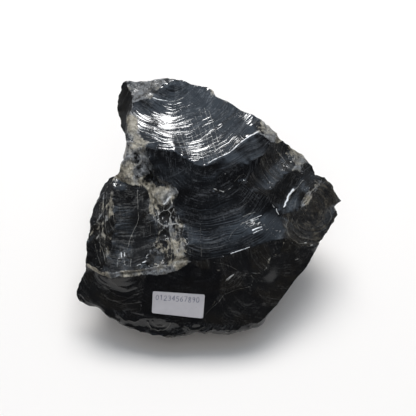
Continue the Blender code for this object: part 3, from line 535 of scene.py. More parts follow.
# Seams: thin raised or sunken lines inside a facet, where small scars meet or a crack runs. The
# whitest short strokes among them are painted highlights and glints, white colour where the glass
# would catch the lamp. Each has its paleness, height in mm, half width in mm, and the sheet points
# that it passes.
# Cross-hatched pale lines on the upper scoop, colour only: partly real scratches, partly a painted highlight where the
# hatch would catch the lamp
HATCH = [
    (0.30 + 0.22 * math.sin(3.7 * k) ** 2, 0.0, 0.20, [(172.0 + 4.6 * k, 121.0 - 1.3 * k + 5.0 * math.sin(5.1 * k)), (176.4 + 4.9 * k, 136.0 - 0.4 * k), (183.5 + 5.1 * k, 154.5 + 1.9 * k - 0.45 * max(0, k - 4) ** 2)])
    for k in range(9)
] + [
    (0.30 + 0.30 * math.sin(2.3 * k) ** 2, 0.0, 0.20, [(176.0 + 3.4 * k, 143.5 + 2.3 * k), (190.0 + 3.4 * k, 139.5 + 2.0 * k), (207.0 + 3.6 * k, 130.5 + 2.4 * k)])
    for k in range(7)
]
SEAMS_AND_GLINTS = {
    "rough_middle": [
        (0.53, 0.28, 0.50, [(149.5, 195), (150.6, 200), (151.2, 205.4), (152.3, 211), (153.8, 216), (155.9, 221), (157.6, 226.8), (156.9, 235.7)]),
        (0.44, 0.28, 0.31, [(155.4, 196), (156.4, 205), (158.0, 213), (159.8, 222.5), (162.9, 226.3)]),
        (0.63, 0.56, 0.62, [(158.9, 222.0), (162.9, 226.3), (166.0, 226.2), (169.6, 225.2), (175.9, 223.4), (181.0, 226.0)]),
        (0.53, 0.35, 0.37, [(157.8, 236.0), (160.6, 231.6), (163.6, 229.0), (166.0, 226.2)]),
        (0.66, 0.49, 0.28, [(158.6, 215.0), (160.6, 212.4), (163.5, 210.6), (167.9, 210.2), (170.8, 213.8), (169.9, 221.0), (168.8, 224.8)]),
        (0.66, 0.42, 0.31, [(168.2, 209.8), (171.8, 206.6), (173.2, 202.5)]),
        (0.66, 0.42, 0.31, [(171.4, 213.6), (174.2, 208.6), (175.2, 214.3), (176.0, 219.5), (177.4, 223.6)]),
        (0.15, -0.7, 0.4, [(158.6, 237.4), (160.4, 244.0), (162.5, 250.0), (164.3, 257.1)]),
        (0.57, 0.35, 0.28, [(170.2, 227.4), (171.6, 235.7), (174.1, 244.6), (177.6, 252.0), (178.8, 258.0)]),
        (0.44, 0.28, 0.31, [(177.9, 227.6), (178.9, 234.8), (181.6, 243.8), (183.6, 251.6), (185.6, 256.4)]),
        (0.53, 0.49, 0.37, [(151.4, 192.6), (156.4, 198.0), (160.0, 202.6), (163.6, 204.6)]),
        (0.88, 0.35, 0.99, [(163.6, 203.8), (167.0, 200.6), (170.4, 196.8)]),
        (0.53, 0.28, 0.25, [(163.0, 203.0), (163.4, 207.6), (163.5, 210.6)]),
    ],
    "scoop_left": [
        (0.40, 0.03, 0.26, [(137.5, 190), (137.4, 200), (137.9, 210.7), (138.8, 217.9), (136.6, 225), (133, 232), (129.5, 241), (126.8, 250)]),
        # painted glints: the short white strokes low in the left scoop
        (1.0, 0.0, 0.60, [(121.2, 252.4), (121.5, 256.8)]),
        (1.0, 0.0, 0.40, [(124.2, 252.6), (124.4, 256.0)]),
        (0.9, 0.0, 0.40, [(137.2, 265.4), (140.6, 264.0)]),
        (1.0, 0.0, 0.50, [(142.4, 262.6), (146.4, 261.0)]),
        (0.8, 0.0, 0.35, [(146.4, 256.4), (148.2, 254.6)]),
        (0.9, 0.0, 0.35, [(112.4, 235.8), (113.6, 232.8)]),
        (0.5, 0.0, 0.25, [(131.0, 259.0), (130.4, 266.0)]),
        (0.5, 0.0, 0.25, [(117.6, 259.6), (117.2, 266.6)]),
        (0.12, 0.0, 0.22, [(142.8, 190), (142.2, 197), (142.8, 206)]),
        (0.12, 0.0, 0.22, [(146.6, 206), (147.6, 216), (150.6, 226), (150.0, 234)]),
        (0.16, 0.0, 0.22, [(132.6, 236), (131.4, 246), (131.9, 254)]),
        (0.14, 0.0, 0.22, [(120.4, 196), (119.6, 208), (121.0, 219)]),
        (0.16, 0.0, 0.22, [(124.6, 247), (123.8, 256), (124.4, 264)]),
        (0.18, 0.05, 0.30, [(113.6, 236), (112.4, 246), (110.4, 256)]),
    ],
    "side_left": [
        (0.42, 0.10, 0.28, [(103.6, 196), (103.0, 206), (103.8, 216), (102.6, 226), (103.2, 238)]),
        (0.34, 0.10, 0.24, [(106.6, 192), (106.0, 203), (107.2, 212), (106.0, 224), (106.6, 234)]),
        (0.46, 0.12, 0.30, [(112.0, 192), (113.4, 202), (113.2, 212), (114.2, 222), (113.4, 230)]),
        (0.26, 0.08, 0.22, [(100.2, 206), (99.4, 218), (99.8, 232), (98.6, 246)]),
        (0.50, 0.08, 0.26, [(98.6, 242), (100.2, 250), (101.4, 259), (103.4, 266)]),
        (0.60, 0.05, 0.26, [(104.2, 247), (105.0, 256), (106.6, 264)]),
        (0.38, 0.05, 0.24, [(94.2, 244), (95.2, 254), (97.4, 263)]),
        (0.20, 0.10, 0.3, [(108.9, 197), (109.2, 205), (110.4, 214), (109.4, 222), (111.4, 229)]),
        (0.15, 0.08, 0.3, [(101.8, 244), (102.8, 254), (101.6, 262.5)]),
    ],
    "rough_left": [
        (0.45, 0.5, 0.7, [(139.6, 149.5), (141.4, 155.5), (145.6, 158.6), (149.2, 161.6)]),
        (0.35, 0.5, 0.5, [(130.6, 150.6), (133.4, 156.4), (131.6, 163.6), (126.2, 168.8)]),
        (0.45, 0.6, 0.7, [(120.6, 178.6), (125.4, 180.0), (129.2, 176.4), (133.6, 169.8), (137.6, 164.6), (141.4, 155.5)]),
        (0.3, 0.5, 0.45, [(133.6, 169.8), (139.6, 174.6), (142.6, 180.6)]),
        (0.35, 0.5, 0.5, [(150.0, 169.6), (151.0, 176.2), (152.8, 183.6)]),
        (0.3, 0.4, 0.45, [(126.8, 158.6), (131.6, 163.6), (137.6, 164.6)]),
    ],
    "bowl": [
        # painted highlight: the white line along the keen edge above the front face
        (1.0, 0.05, 0.42, [(223.2, 256.6), (230, 254.3), (236.6, 251.8), (243, 249.4), (249.4, 247.3)]),
        # painted glints: parallel white streaks on the lower right of the bowl
        (1.0, 0.0, 0.60, [(252.6, 230.4), (256.6, 228.4), (261.8, 226.8)]),
        (1.0, 0.0, 0.45, [(253.4, 233.2), (257.4, 231.2), (262.6, 229.0)]),
        (0.9, 0.0, 0.32, [(250.6, 220.4), (256.4, 217.4), (261.6, 215.2)]),
        (0.8, 0.0, 0.26, [(246.4, 223.4), (252.4, 221.2), (258.6, 218.6)]),
        (0.7, 0.0, 0.24, [(249.6, 226.0), (255.0, 224.2), (260.4, 222.4)]),
        (0.5, 0.0, 0.22, [(240.6, 224.6), (246.6, 221.4), (252.6, 218.4)]),
        (0.5, 0.0, 0.22, [(243.0, 216.6), (248.6, 214.0), (254.6, 212.2)]),
        # painted sparkles: short pale dashes in the middle of the bowl
        (0.7, 0.0, 0.28, [(214.2, 188.6), (216.4, 189.6)]),
        (0.8, 0.0, 0.32, [(220.0, 190.6), (223.8, 191.8)]),
        (0.6, 0.0, 0.28, [(228.6, 189.4), (230.4, 188.2)]),
        (0.6, 0.0, 0.26, [(225.0, 174.0), (227.6, 173.6)]),
        (0.16, 0.0, 0.20, [(188.0, 226.0), (188.6, 241), (190.2, 254)]),
        (0.12, 0.0, 0.18, [(191.6, 227.0), (192.0, 246), (193.4, 257)]),
        (0.22, 0.0, 0.20, [(200.2, 224), (200.6, 240), (201.6, 256)]),
        (0.14, 0.0, 0.18, [(187.0, 232.6), (197, 231.2), (212, 228.4)]),
        (0.12, 0.0, 0.18, [(190.0, 240.2), (202, 239.6), (218, 237.0)]),
        (0.14, 0.0, 0.18, [(190.6, 244.8), (203, 244.6), (222, 241.0)]),
        (0.12, 0.0, 0.18, [(192.0, 250.0), (206, 249.6), (224, 245.8)]),
        (0.22, 0.02, 0.25, [(236.8, 211), (242.0, 206.6), (248.4, 201.6)]),
        (0.16, 0.03, 0.25, [(234.6, 181.6), (238.6, 176.4), (243.6, 174.0)]),
        (0.14, 0.03, 0.25, [(238.6, 186.2), (242.4, 181.4), (247.4, 179.6)]),
        (0.70, 0.15, 0.35, [(270.4, 202.0), (274.2, 207.4)]),
        (0.80, 0.15, 0.35, [(276.6, 208.4), (278.6, 214.2)]),
        (0.18, 0.03, 0.25, [(213.4, 189.0), (218.6, 191.4), (225.4, 190.6)]),
        (0.20, 0.05, 0.25, [(243.0, 222.0), (232.0, 233.0), (228.0, 241.0)]),
    ],
    "scoop_top": [
        # painted highlight: a pale line split off the rim highlight
        (0.45, 0.03, 0.28, [(229.0, 150.6), (233.6, 145.4), (237.0, 139.8)]),
        (0.50, 0.03, 0.28, [(127.6, 143.2), (140.0, 143.8), (154.4, 142.2), (172.0, 139.0)]),
        # painted highlights: the white rim line, the arc highlight near the bulb, and the rim line further right
        (1.0, 0.05, 0.40, [(208.5, 163.0), (213.4, 160.0), (218.6, 157.4), (229.5, 152.4), (235.0, 147.6)]),
        (0.95, 0.0, 0.35, [(152.6, 97.4), (157.0, 99.2), (163.0, 100.2), (167.6, 101.0)]),
        (0.6, 0.0, 0.25, [(170.0, 101.6), (177.0, 100.6), (183.0, 97.6)]),
        (1.0, 0.05, 0.50, [(233.4, 149.0), (239.4, 143.4), (248.6, 136.7), (258.6, 131.4)]),
        *HATCH,
    ],
    "scoop_end": [
        (0.20, 0.35, 0.35, [(288.4, 217.5), (286.0, 225.4), (287.6, 233.2), (292.6, 239.8), (299.6, 243.6), (306.4, 243.4)]),
        (0.16, 0.30, 0.30, [(293.2, 215.8), (291.2, 223.4), (293.6, 231.0), (300.0, 237.0), (308.6, 239.0)]),
        (0.12, 0.25, 0.30, [(298.2, 216.0), (296.4, 222.6), (299.0, 229.6), (306.0, 234.0)]),
        (0.18, 0.25, 0.35, [(329.0, 210.0), (331.6, 217.0), (327.6, 224.0)]),
        (0.8, 0.0, 0.28, [(304.4, 242.9), (306.2, 242.4)]),
        (0.7, 0.0, 0.28, [(310.8, 245.2), (312.4, 244.8)]),
    ],
    "scoop_right": [
        (0.05, -0.4, 0.3, [(263.4, 160.6), (262.0, 167.6), (264.6, 175.0), (268.6, 181.6)]),
        (0.05, -0.3, 0.3, [(268.6, 158.0), (267.6, 164.6), (270.4, 172.6)]),
        (0.30, 0.20, 0.4, [(277.6, 152.0), (284.6, 160.4), (289.6, 168.0)]),
    ],
    "trough": [
        # painted highlight: the white streak down the trough, raised a little
        (1.0, 0.15, 0.95, [(283.9, 207), (285.6, 202.2), (289.0, 195.4), (293.6, 189.6)]),
        (0.45, 0.10, 0.30, [(289.6, 198.4), (295.6, 189.0), (304.0, 180.0)]),
    ],
    # partly a painted highlight: the pale lit strip along the narrow ridge, raised a little
    "rib": [(0.7, 0.15, 0.4, [(299.6, 208.0), (304.2, 202.2), (309.5, 195.3), (315.8, 185.7)])],
    "front_left": [
        (0.08, 0.20, 0.4, [(104.6, 286.0), (109.6, 291.0), (118.0, 295.4), (129.8, 297.0), (139.0, 293.0)]),
        (0.08, 0.20, 0.4, [(101.6, 293.6), (110.0, 299.4), (121.0, 303.0), (133.0, 303.6), (139.4, 300.6)]),
        (0.06, 0.20, 0.4, [(112.6, 281.6), (118.0, 286.6), (127.0, 289.4), (136.0, 287.0)]),
    ],
    "front_right": [
        (0.36, 0.15, 0.25, [(262.8, 273.0), (264.0, 270.2), (266.6, 268.0), (265.6, 265.2), (267.8, 262.6), (269.6, 260.6)]),
        (0.30, 0.10, 0.22, [(269.6, 259.0), (272.8, 257.0), (276.4, 255.4), (279.6, 254.8)]),
        (0.14, 0.03, 0.20, [(248.0, 288.6), (254.0, 294.4), (260.4, 300.0), (264.8, 303.4)]),
        # painted glint at the lower edge of the right scoop
        (0.55, 0.05, 0.30, [(295.4, 259.8), (298.0, 258.8)]),
        (0.10, 0.05, 0.22, [(255.8, 288.6), (259.6, 294.6), (265.2, 301.0)]),
    ],
    "front_small": [
        (0.22, 0.05, 0.22, [(222.2, 273.6), (221.2, 281.0), (219.8, 289.0)]),
        # painted glints: the two bright short strokes here and the broad one below
        (0.50, 0.0, 0.24, [(228.0, 280.4), (230.6, 277.6), (233.8, 275.0)]),
        (0.42, 0.0, 0.22, [(225.4, 281.4), (228.4, 278.0)]),
        (0.30, 0.05, 0.22, [(251.0, 275.4), (253.6, 278.4), (252.4, 282.0)]),
        # painted glint: the broad bright stroke on the small facet
        (0.85, 0.05, 0.45, [(226.6, 279.4), (229.6, 277.0), (233.6, 274.8)]),
        (0.12, 0.04, 0.25, [(228.6, 283.4), (235.4, 279.4), (241.0, 275.8)]),
    ],
    "front_low": [(0.22, 0.08, 0.24, [(205.6, 314.2), (211.6, 307.8), (219.2, 301.2), (223.9, 294.6), (236.8, 289.4), (250.4, 286.2)])],
    "front_top": [
        (0.34, 0.06, 0.55, [(222.0, 270.4), (230.0, 271.0), (243.0, 272.2), (254.0, 273.0), (261.6, 273.6)]),
        (0.14, 0.03, 0.20, [(214.0, 262.4), (222.6, 263.8), (231.0, 266.6), (238.0, 270.6)]),
    ],
    "foot": [
        (0.25, 0.4, 0.5, [(147.7, 322), (151.2, 328.8), (159.0, 331.2), (167.6, 327.8), (170.4, 322.6)]),
        (0.20, 0.4, 0.4, [(152.6, 321.6), (156.0, 326.4), (162.6, 326.8), (166.4, 322.4)]),
        (0.18, 0.4, 0.5, [(184.0, 326.0), (190.6, 330.4), (199.0, 330.0), (205.0, 326.6)]),
        (0.18, 0.4, 0.5, [(213.0, 328.6), (221.6, 331.6), (231.0, 330.0)]),
        (0.18, 0.4, 0.5, [(116.6, 314.6), (124.0, 320.4), (134.6, 322.0), (141.6, 318.6)]),
    ],
}
# Pockets and bosses on the seen side: sheet x, y, width, height, and depth in mm (minus is a boss)
POCKETS = [
    (164.5, 216.5, 4.5, 5.0, 1.6), (163.0, 234.5, 4.5, 4.5, 1.6), (173.4, 213.6, 1.8, 3.6, 0.8),
    (147.5, 179.5, 4.0, 4.5, 1.8), (139.6, 162.0, 3.4, 4.4, 1.2), (178.0, 243.0, 2.2, 6.0, 0.8),
    (164.0, 195.0, 9.0, 5.5, -1.3), (252.5, 219.5, 9.0, 8.0, 0.6), (183.4, 236.0, 2.0, 5.0, 0.7), (268.0, 139.5, 2.6, 2.6, 0.8),
    (240.6, 177.6, 5.0, 4.0, 0.5), (276.6, 203.6, 3.4, 5.0, 0.5), (100.0, 252.0, 3.0, 6.0, 0.7),
    (160.0, 327.0, 6.0, 4.0, 0.9), (196.0, 329.0, 7.0, 3.0, 0.6), (226.0, 330.0, 6.0, 2.4, 0.5),
    (333.4, 203.8, 3.0, 2.6, 0.9), (271.0, 278.5, 7.0, 6.0, 0.25), (82.0, 294.6, 4.0, 4.0, 0.5),
]


def thin_plate(nodes, heights, places):
    """Heights at places of the thin-plate surface through the nodes."""

    def kernel(r2):
        return 0.5 * r2 * np.log(np.maximum(r2, 1e-18))

    n = len(nodes)
    centre, size = nodes.mean(0), np.ptp(nodes, axis=0).max()
    p, q = (nodes - centre) / size, (places - centre) / size
    a = np.zeros((n + 3, n + 3))
    a[:n, :n] = kernel(((p[:, None] - p[None]) ** 2).sum(2))
    a[:n, n] = a[n, :n] = 1.0
    a[:n, n + 1 :] = p
    a[n + 1 :, :n] = p.T
    w = np.linalg.solve(a, np.concatenate([heights, np.zeros(3)]))
    found = np.empty(len(q))
    for k in range(0, len(q), 4000):
        part = q[k : k + 4000]
        r2 = (part**2).sum(1)[:, None] + (p**2).sum(1)[None] - 2 * part @ p.T
        found[k : k + 4000] = kernel(np.maximum(r2, 0)) @ w[:n] + w[n] + part @ w[n + 1 :]
    return found


def inside(loop, places):
    """Which places lie inside the loop."""
    x, y = places[:, 0], places[:, 1]
    found = np.zeros(len(places), bool)
    for (x0, y0), (x1, y1) in zip(loop, np.roll(loop, -1, axis=0)):
        crosses = (y0 > y) != (y1 > y)
        if y1 != y0:
            found ^= crosses & (x < x0 + (y - y0) * (x1 - x0) / (y1 - y0))
    return found


def clearance(loop, places):
    """Distance of each place to the loop's nearest side."""
    best = np.full(len(places), np.inf)
    for p, q in zip(loop, np.roll(loop, -1, axis=0)):
        d = q - p
        t = np.clip(((places - p) @ d) / max(d @ d, 1e-18), 0, 1)
        best = np.minimum(best, ((places - p - t[:, None] * d) ** 2).sum(1))
    return np.sqrt(best)


def noise(p, size, seed=0):
    """Smooth noise from -1 to 1 at 3-D points, with features about size apart."""
    q = np.asarray(p) / size + np.array([17.31, 5.77, 29.13]) * (seed + 1)
    i = np.floor(q).astype(np.int64)
    f = q - i
    f = f * f * f * (f * (f * 6 - 15) + 10)

    def at(dx, dy, dz):
        n = (i[:, 0] + dx) * 73856093 ^ (i[:, 1] + dy) * 19349663 ^ (i[:, 2] + dz) * 83492791
        n = (n & 0x7FFFFFFF) * 1103515245 + 12345 & 0x7FFFFFFF
        n = (n ^ (n >> 15)) * 1274126177 & 0x7FFFFFFF
        return (n ^ (n >> 13) & 0xFFFF) % 65536 / 32767.5 - 1

    def mix(a, b, t):
        return a + (b - a) * t

    x0 = mix(mix(at(0, 0, 0), at(1, 0, 0), f[:, 0]), mix(at(0, 1, 0), at(1, 1, 0), f[:, 0]), f[:, 1])
    x1 = mix(mix(at(0, 0, 1), at(1, 0, 1), f[:, 0]), mix(at(0, 1, 1), at(1, 1, 1), f[:, 0]), f[:, 1])
    return mix(x0, x1, f[:, 2])


def smooth(t):
    t = np.clip(t, 0, 1)
    return t * t * (3 - 2 * t)


MM = 0.001


class Stone:
    """The stone's skin at a fine spacing."""

    def __init__(self):
        self.points, self.triangles, self.owner = [], [], []
        self.corner = {name: self.add(p) for name, p in CORNERS.items()}
        self.ridge = {}
        for number, ((a, b), way) in enumerate(RIDGES.items()):
            path = [CORNERS[a], *way, CORNERS[b]]
            flat = a[0] == b[0] == "B"
            key = (a, b)
            amount = 0.025 if key in CLEAN else 0.075 if key in BATTERED else 0.05
            path = self.broken(path, number, amount, flat)
            self.ridge[key] = [self.corner[a]] + [self.add(p) for p in path[1:-1]] + [self.corner[b]]
        self.gap, self.seam = [9.0] * len(self.points), [[9.0, 0.0, 0.3]] * len(self.points)
        self.middle = np.mean(list(CORNERS.values()), axis=0)
        self.names = list(FACETS)
        self.planes, self.depth = {}, {}
        for name in self.names:
            self.facet(name)
        self.points, self.gap, self.seam = np.array(self.points), np.array(self.gap), np.array(self.seam)
        self.triangles = np.array(self.triangles)
        self.owner = np.array(self.owner)

    def add(self, p):
        self.points.append(np.asarray(p, float))
        return len(self.points) - 1

    def broken(self, path, seed, amount, flat):
        """A ridge's path, halved until its steps are fine, each new point thrown a little aside."""
        rng = np.random.default_rng(1000 + seed)
        points = [np.array(p, float) for p in path]
        while True:
            found, halved = [points[0]], False
            for p, q in zip(points, points[1:]):
                d = q - p
                length = np.linalg.norm(d)
                if length > 1.5 * RIDGE_STEP:
                    aside = rng.normal(size=3)
                    aside -= d * (aside @ d) / length**2
                    if flat:
                        aside[2] = 0.0
                    found.append((p + q) / 2 + np.clip(aside, -1.6, 1.6) * amount * length)
                    halved = True
                found.append(q)
            points = found
            if not halved:
                return points

    def loop(self, corners):
        found = []
        for a, b in zip(corners, corners[1:] + corners[:1]):
            line = self.ridge[a, b] if (a, b) in self.ridge else self.ridge[b, a][::-1]
            found += line[:-1]
        return found

    def facet(self, name):
        corners, marks = FACETS[name]
        loop = self.loop(corners)
        rim = np.array([self.points[i] for i in loop])
        centre = rim.mean(0)
        area = np.cross(rim - centre, np.roll(rim, -1, axis=0) - centre).sum(0)
        normal = area / np.linalg.norm(area)
        if normal @ (centre - self.middle) < 0:
            normal = -normal
            loop, rim = loop[::-1], rim[::-1]
        across = np.cross([0.0, 0.0, 1.0], normal)
        if np.linalg.norm(across) < 0.2:
            across = np.array([1.0, 0.0, 0.0])
        across -= normal * (across @ normal)
        across /= np.linalg.norm(across)
        turned = np.array([across, np.cross(normal, across), normal])
        local = (rim - centre) @ turned.T
        flat, rise = local[:, :2], local[:, 2]
        step = HIDDEN_STEP if name in HIDDEN else SEEN_STEP
        low, high = flat.min(0), flat.max(0)
        rows = []
        for j, y in enumerate(np.arange(low[1] + 0.4 * step, high[1], step * 0.866)):
            xs = np.arange(low[0] + (0.25 + 0.5 * (j % 2)) * step, high[0], step)
            rows.append(np.column_stack([xs, np.full(len(xs), y)]))
        grid = np.concatenate(rows)
        grid = grid[inside(flat, grid)]
        edge = clearance(flat, grid)
        grid, edge = grid[edge > 0.6 * step], edge[edge > 0.6 * step]
        self.planes[name] = (centre, turned, flat, rise)
        seams_and_glints = [row[:3] for row in SEAMS_AND_GLINTS.get(name, [])]
        paths = self.seams_and_glints(name, marks, step)
        places, links = [], []
        for path in paths:
            keep = inside(flat, path) & (clearance(flat, path) > 0.5 * step)
            last = False
            for p, good in zip(path, keep):
                if good:
                    places.append(p)
                    if last:
                        links.append((len(places) - 2, len(places) - 1))
                last = good
        if places:
            places = np.array(places)
            tree = KDTree(len(places))
            for k, p in enumerate(places):
                tree.insert((p[0], p[1], 0.0), k)
            tree.balance()
            far = np.array([tree.find((p[0], p[1], 0.0))[2] for p in grid])
            grid, edge = grid[far > 0.5 * step], edge[far > 0.5 * step]
            grid = np.concatenate([places, grid])
            edge = np.concatenate([clearance(flat, places), edge])
        heights = self.heights(name, marks, grid)
        seam = np.tile([9.0, 0.0, 0.3], (len(grid), 1))
        for path, (strength, height, wide) in zip(paths, seams_and_glints):
            best = np.full(len(grid), np.inf)
            for p, q in zip(path, path[1:]):
                d = q - p
                t = np.clip(((grid - p) @ d) / max(d @ d, 1e-18), 0, 1)
                best = np.minimum(best, ((grid - p - t[:, None] * d) ** 2).sum(1))
            heights = heights + height * MM * np.exp(-best / (0.0007 + wide * MM) ** 2) * smooth(edge / 0.0015)
            away = np.sqrt(best) / MM
            nearer = away < np.minimum(seam[:, 0], 4.0)
            seam[nearer] = np.column_stack([away, np.full(len(away), strength), np.full(len(away), wide)])[nearer]
        found = centre + np.column_stack([grid, heights]) @ turned
        gap = np.full(len(found), 9.0)
        if marks != "flat":
            lift, gap = self.relief(name, found, edge)
            found = found + normal * lift[:, None]
        first = len(flat)
        ids = loop + [self.add(p) for p in found]
        self.gap += list(gap)
        self.seam += seam.tolist()
        xy = np.concatenate([flat, grid])
        n = len(flat)
        sides = [(i, (i + 1) % n) for i in range(n)] + [(first + a, first + b) for a, b in links]
        out, _, faces, origins, _, _ = delaunay_2d_cdt([Vector(p) for p in xy], sides, [], 1, 1e-9)
        if any(len(o) != 1 for o in origins[:n]):
            print(f"facet {name} crosses itself")
        known, origin = xy, []
        for place, o in zip(out, origins):
            if o:
                origin.append(ids[o[0]])
                continue
            near = int(((known - np.array(place)) ** 2).sum(1).argmin())
            origin.append(self.add(self.points[ids[near]]))
            self.gap.append(self.gap[ids[near]])
            self.seam.append(self.seam[ids[near]])
            way = (np.array(place) - known[near]) @ turned[:2]
            self.points[-1] = self.points[-1] + way
        origin = np.array(origin)
        xy = np.array([tuple(p) for p in out])
        tri = np.array([tuple(f) for f in faces])
        p, q, r = xy[tri[:, 0]], xy[tri[:, 1]], xy[tri[:, 2]]
        turn = (q[:, 0] - p[:, 0]) * (r[:, 1] - p[:, 1]) - (q[:, 1] - p[:, 1]) * (r[:, 0] - p[:, 0])
        tri[turn < 0] = tri[turn < 0][:, ::-1]
        self.triangles.extend(origin[tri].tolist())
        self.owner.extend([self.names.index(name)] * len(tri))

    def seams_and_glints(self, name, marks, step):
        """The facet's lines, painted glint strokes among them, as fine jagged paths in its plane."""
        centre, turned, flat, rise = self.planes[name]
        rng = np.random.default_rng(300 + self.names.index(name))
        paths = []
        for strength, height, wide, way in SEAMS_AND_GLINTS.get(name, []):
            rays = np.array([spot(x, y, 0.0) for x, y in way]) - EYE
            level = np.zeros(len(way))
            for _ in range(5):
                t = ((centre - EYE) @ turned[2] + level) / (rays @ turned[2])
                local = (EYE + t[:, None] * rays - centre) @ turned.T
                level = self.heights(name, marks, local[:, :2])
            path = [p for p in local[:, :2]]
            amount = 0.015 if abs(height) < 0.1 else 0.07
            while True:
                found, halved = [path[0]], False
                for p, q in zip(path, path[1:]):
                    length = np.linalg.norm(q - p)
                    if length > 1.4 * step:
                        aside = np.array([p[1] - q[1], q[0] - p[0]])
                        found.append((p + q) / 2 + aside * amount * np.clip(rng.normal(), -1.6, 1.6))
                        halved = True
                    found.append(q)
                path = found
                if not halved:
                    break
            paths.append(np.array(path))
        return paths

    def heights(self, name, marks, grid):
        centre, turned, flat, rise = self.planes[name]
        if marks == "flat":
            return np.zeros(len(grid))
        every = max(1, len(flat) // 420)
        nodes, known, extra = flat[::every], rise[::every], []
        for mark in marks:
            if mark[0] == "at":
                p = (spot(*mark[1:]) - centre) @ turned.T
                extra.append((p[0], p[1], p[2], False))
            elif mark[0] == "by":
                ray = spot(mark[1], mark[2], 0.0) - EYE
                t = ((centre - EYE) @ turned[2]) / (ray @ turned[2])
                p = (EYE + t * ray - centre) @ turned.T
                extra.append((p[0], p[1], mark[3] * UNIT, True))
            else:
                extra.append((0.0, 0.0, mark[1] * UNIT, True))
        if extra:
            places = np.array([e[:2] for e in extra])
            plain = thin_plate(nodes, known, places)
            levels = np.array([e[2] + (z if e[3] else 0.0) for e, z in zip(extra, plain)])
            nodes, known = np.concatenate([nodes, places]), np.concatenate([known, levels])
        return thin_plate(nodes, known, grid)

    def look(self, name):
        return {**PLAIN, **FRACTURE.get(name, {})}

    def flow(self, name, p):
        """Distance from the blow, and distance round it, in mm."""
        look = self.look(name)
        centre, turned, flat, rise = self.planes[name]
        blow = look["blow"]
        if blow is None:
            blow = centre + turned[0] * np.ptp(flat[:, 0]) * 0.7 + turned[1] * np.ptp(flat[:, 1]) * 0.6
        away = p - blow
        r = np.linalg.norm(away, axis=1)
        x, y = away @ turned[0], away @ turned[1]
        aim = centre - blow
        ax, ay = aim @ turned[0], aim @ turned[1]
        angle = np.arctan2(ax * y - ay * x, ax * x + ay * y)
        reach = max(np.linalg.norm(aim), 0.02)
        return r / MM, angle * reach / MM

    def relief(self, name, p, edge):
        """Height in metres of the ripples, scoops and lumps that a facet's mesh can hold."""
        look = self.look(name)
        r, s = self.flow(name, p)
        r = r + 1.6 * noise(p, 0.014, 3) + 0.5 * noise(p, 0.005, 4)
        wave = look["wave"]
        part = 0.55 + 0.45 * noise(np.column_stack([r / 18, s / 12, r * 0]), 1.0, 11)
        height = part * np.sin(2 * math.pi * r / wave + 1.4 * noise(p, 0.02, 5))
        height += 0.55 * part * np.sin(2 * math.pi * r / (0.57 * wave) + 2.0 * noise(p, 0.012, 6))
        total = look["swell"] * height
        total += look["rough"] * (noise(p, 0.0065, 7) + 0.5 * noise(p, 0.0028, 8) + 0.35 * noise(p, 0.0014, 9))
        total += 0.10 * noise(p, 0.020, 10) * (name not in ("front_middle",))
        total = total * smooth(edge / 0.004)
        if name not in HIDDEN:
            on_sheet = sheet(p)
            for x, y, wide, tall, deep in POCKETS:
                far = ((on_sheet[:, 0] - x) / wide) ** 2 + ((on_sheet[:, 1] - y) / tall) ** 2
                total -= deep * np.exp(-(far**1.5)) * smooth(edge / 0.002)
        gap = np.full(len(p), 9.0)
        if look["chip"]:
            scoops, gap = self.chips(name, p)
            total += scoops * smooth(edge / 0.0022)
        return total * MM, gap

    def chips(self, name, p):
        """Heights in mm of small overlapping scoops that meet in sharp ridges, and the gap to the next scoop."""
        size, hollow, tilt, stretch, turn = self.look(name)["chip"]
        centre, turned, flat, rise = self.planes[name]
        rng = np.random.default_rng(500 + self.names.index(name))
        places = ((p - centre) @ turned.T)[:, :2] / MM
        places = places + 1.1 * np.column_stack([noise(p, 0.004, 31), noise(p, 0.004, 32)])
        c, s = math.cos(math.radians(turn)), math.sin(math.radians(turn))
        places = places @ np.array([[c, -s], [s, c]]) / np.array([stretch, 1.0])
        low, high = places.min(0) - size, places.max(0) + size
        cells = []
        for x in np.arange(low[0], high[0], size):
            for y in np.arange(low[1], high[1], size):
                if rng.random() < 0.85:
                    cells.append((x + size * rng.uniform(-0.6, 0.6), y + size * rng.uniform(-0.6, 0.6)))
                if rng.random() < 0.25:
                    cells.append((x + size * rng.uniform(-0.6, 0.6), y + size * rng.uniform(-0.6, 0.6)))
        cells = np.array(cells)
        lean = tilt * rng.normal(size=(len(cells), 2))
        level = 0.10 * size * rng.normal(size=len(cells))
        bend = 1.0 / (2 * hollow * rng.uniform(0.6, 2.2, len(cells)))
        height, gap = np.empty(len(p)), np.empty(len(p))
        for k in range(0, len(p), 4000):
            away = places[k : k + 4000, None] - cells[None]
            rise = level + (away * lean).sum(2) + bend * (away**2).sum(2)
            rise = np.partition(rise, 1, axis=1)
            height[k : k + 4000] = rise[:, 0]
            gap[k : k + 4000] = rise[:, 1] - rise[:, 0]
        return height - np.median(height), gap * 0.42 / tilt

    def normals(self):
        a, b, c = (self.points[self.triangles[:, k]] for k in range(3))
        n = np.cross(b - a, c - a)
        found = np.zeros_like(self.points)
        for k in range(3):
            np.add.at(found, self.triangles[:, k], n)
        return found / np.maximum(np.linalg.norm(found, axis=1), 1e-20)[:, None]

    def nick(self, at, out, radius, depth):
        """A blow takes a shallow round flake: points within the ball are pushed out to its surface."""
        centre = at + out * (radius - depth)
        away = self.points - centre
        near = (np.abs(away) < radius).all(1)
        index = np.nonzero(near)[0]
        away = away[index]
        size = np.linalg.norm(away, axis=1)
        hit = size < radius
        if not hit.any() or radius - size[hit].min() > 2.4 * depth + 0.0002:
            return
        index, away, size = index[hit], away[hit], size[hit]
        self.points[index] = centre + away * (radius / np.maximum(size, 1e-9))[:, None]

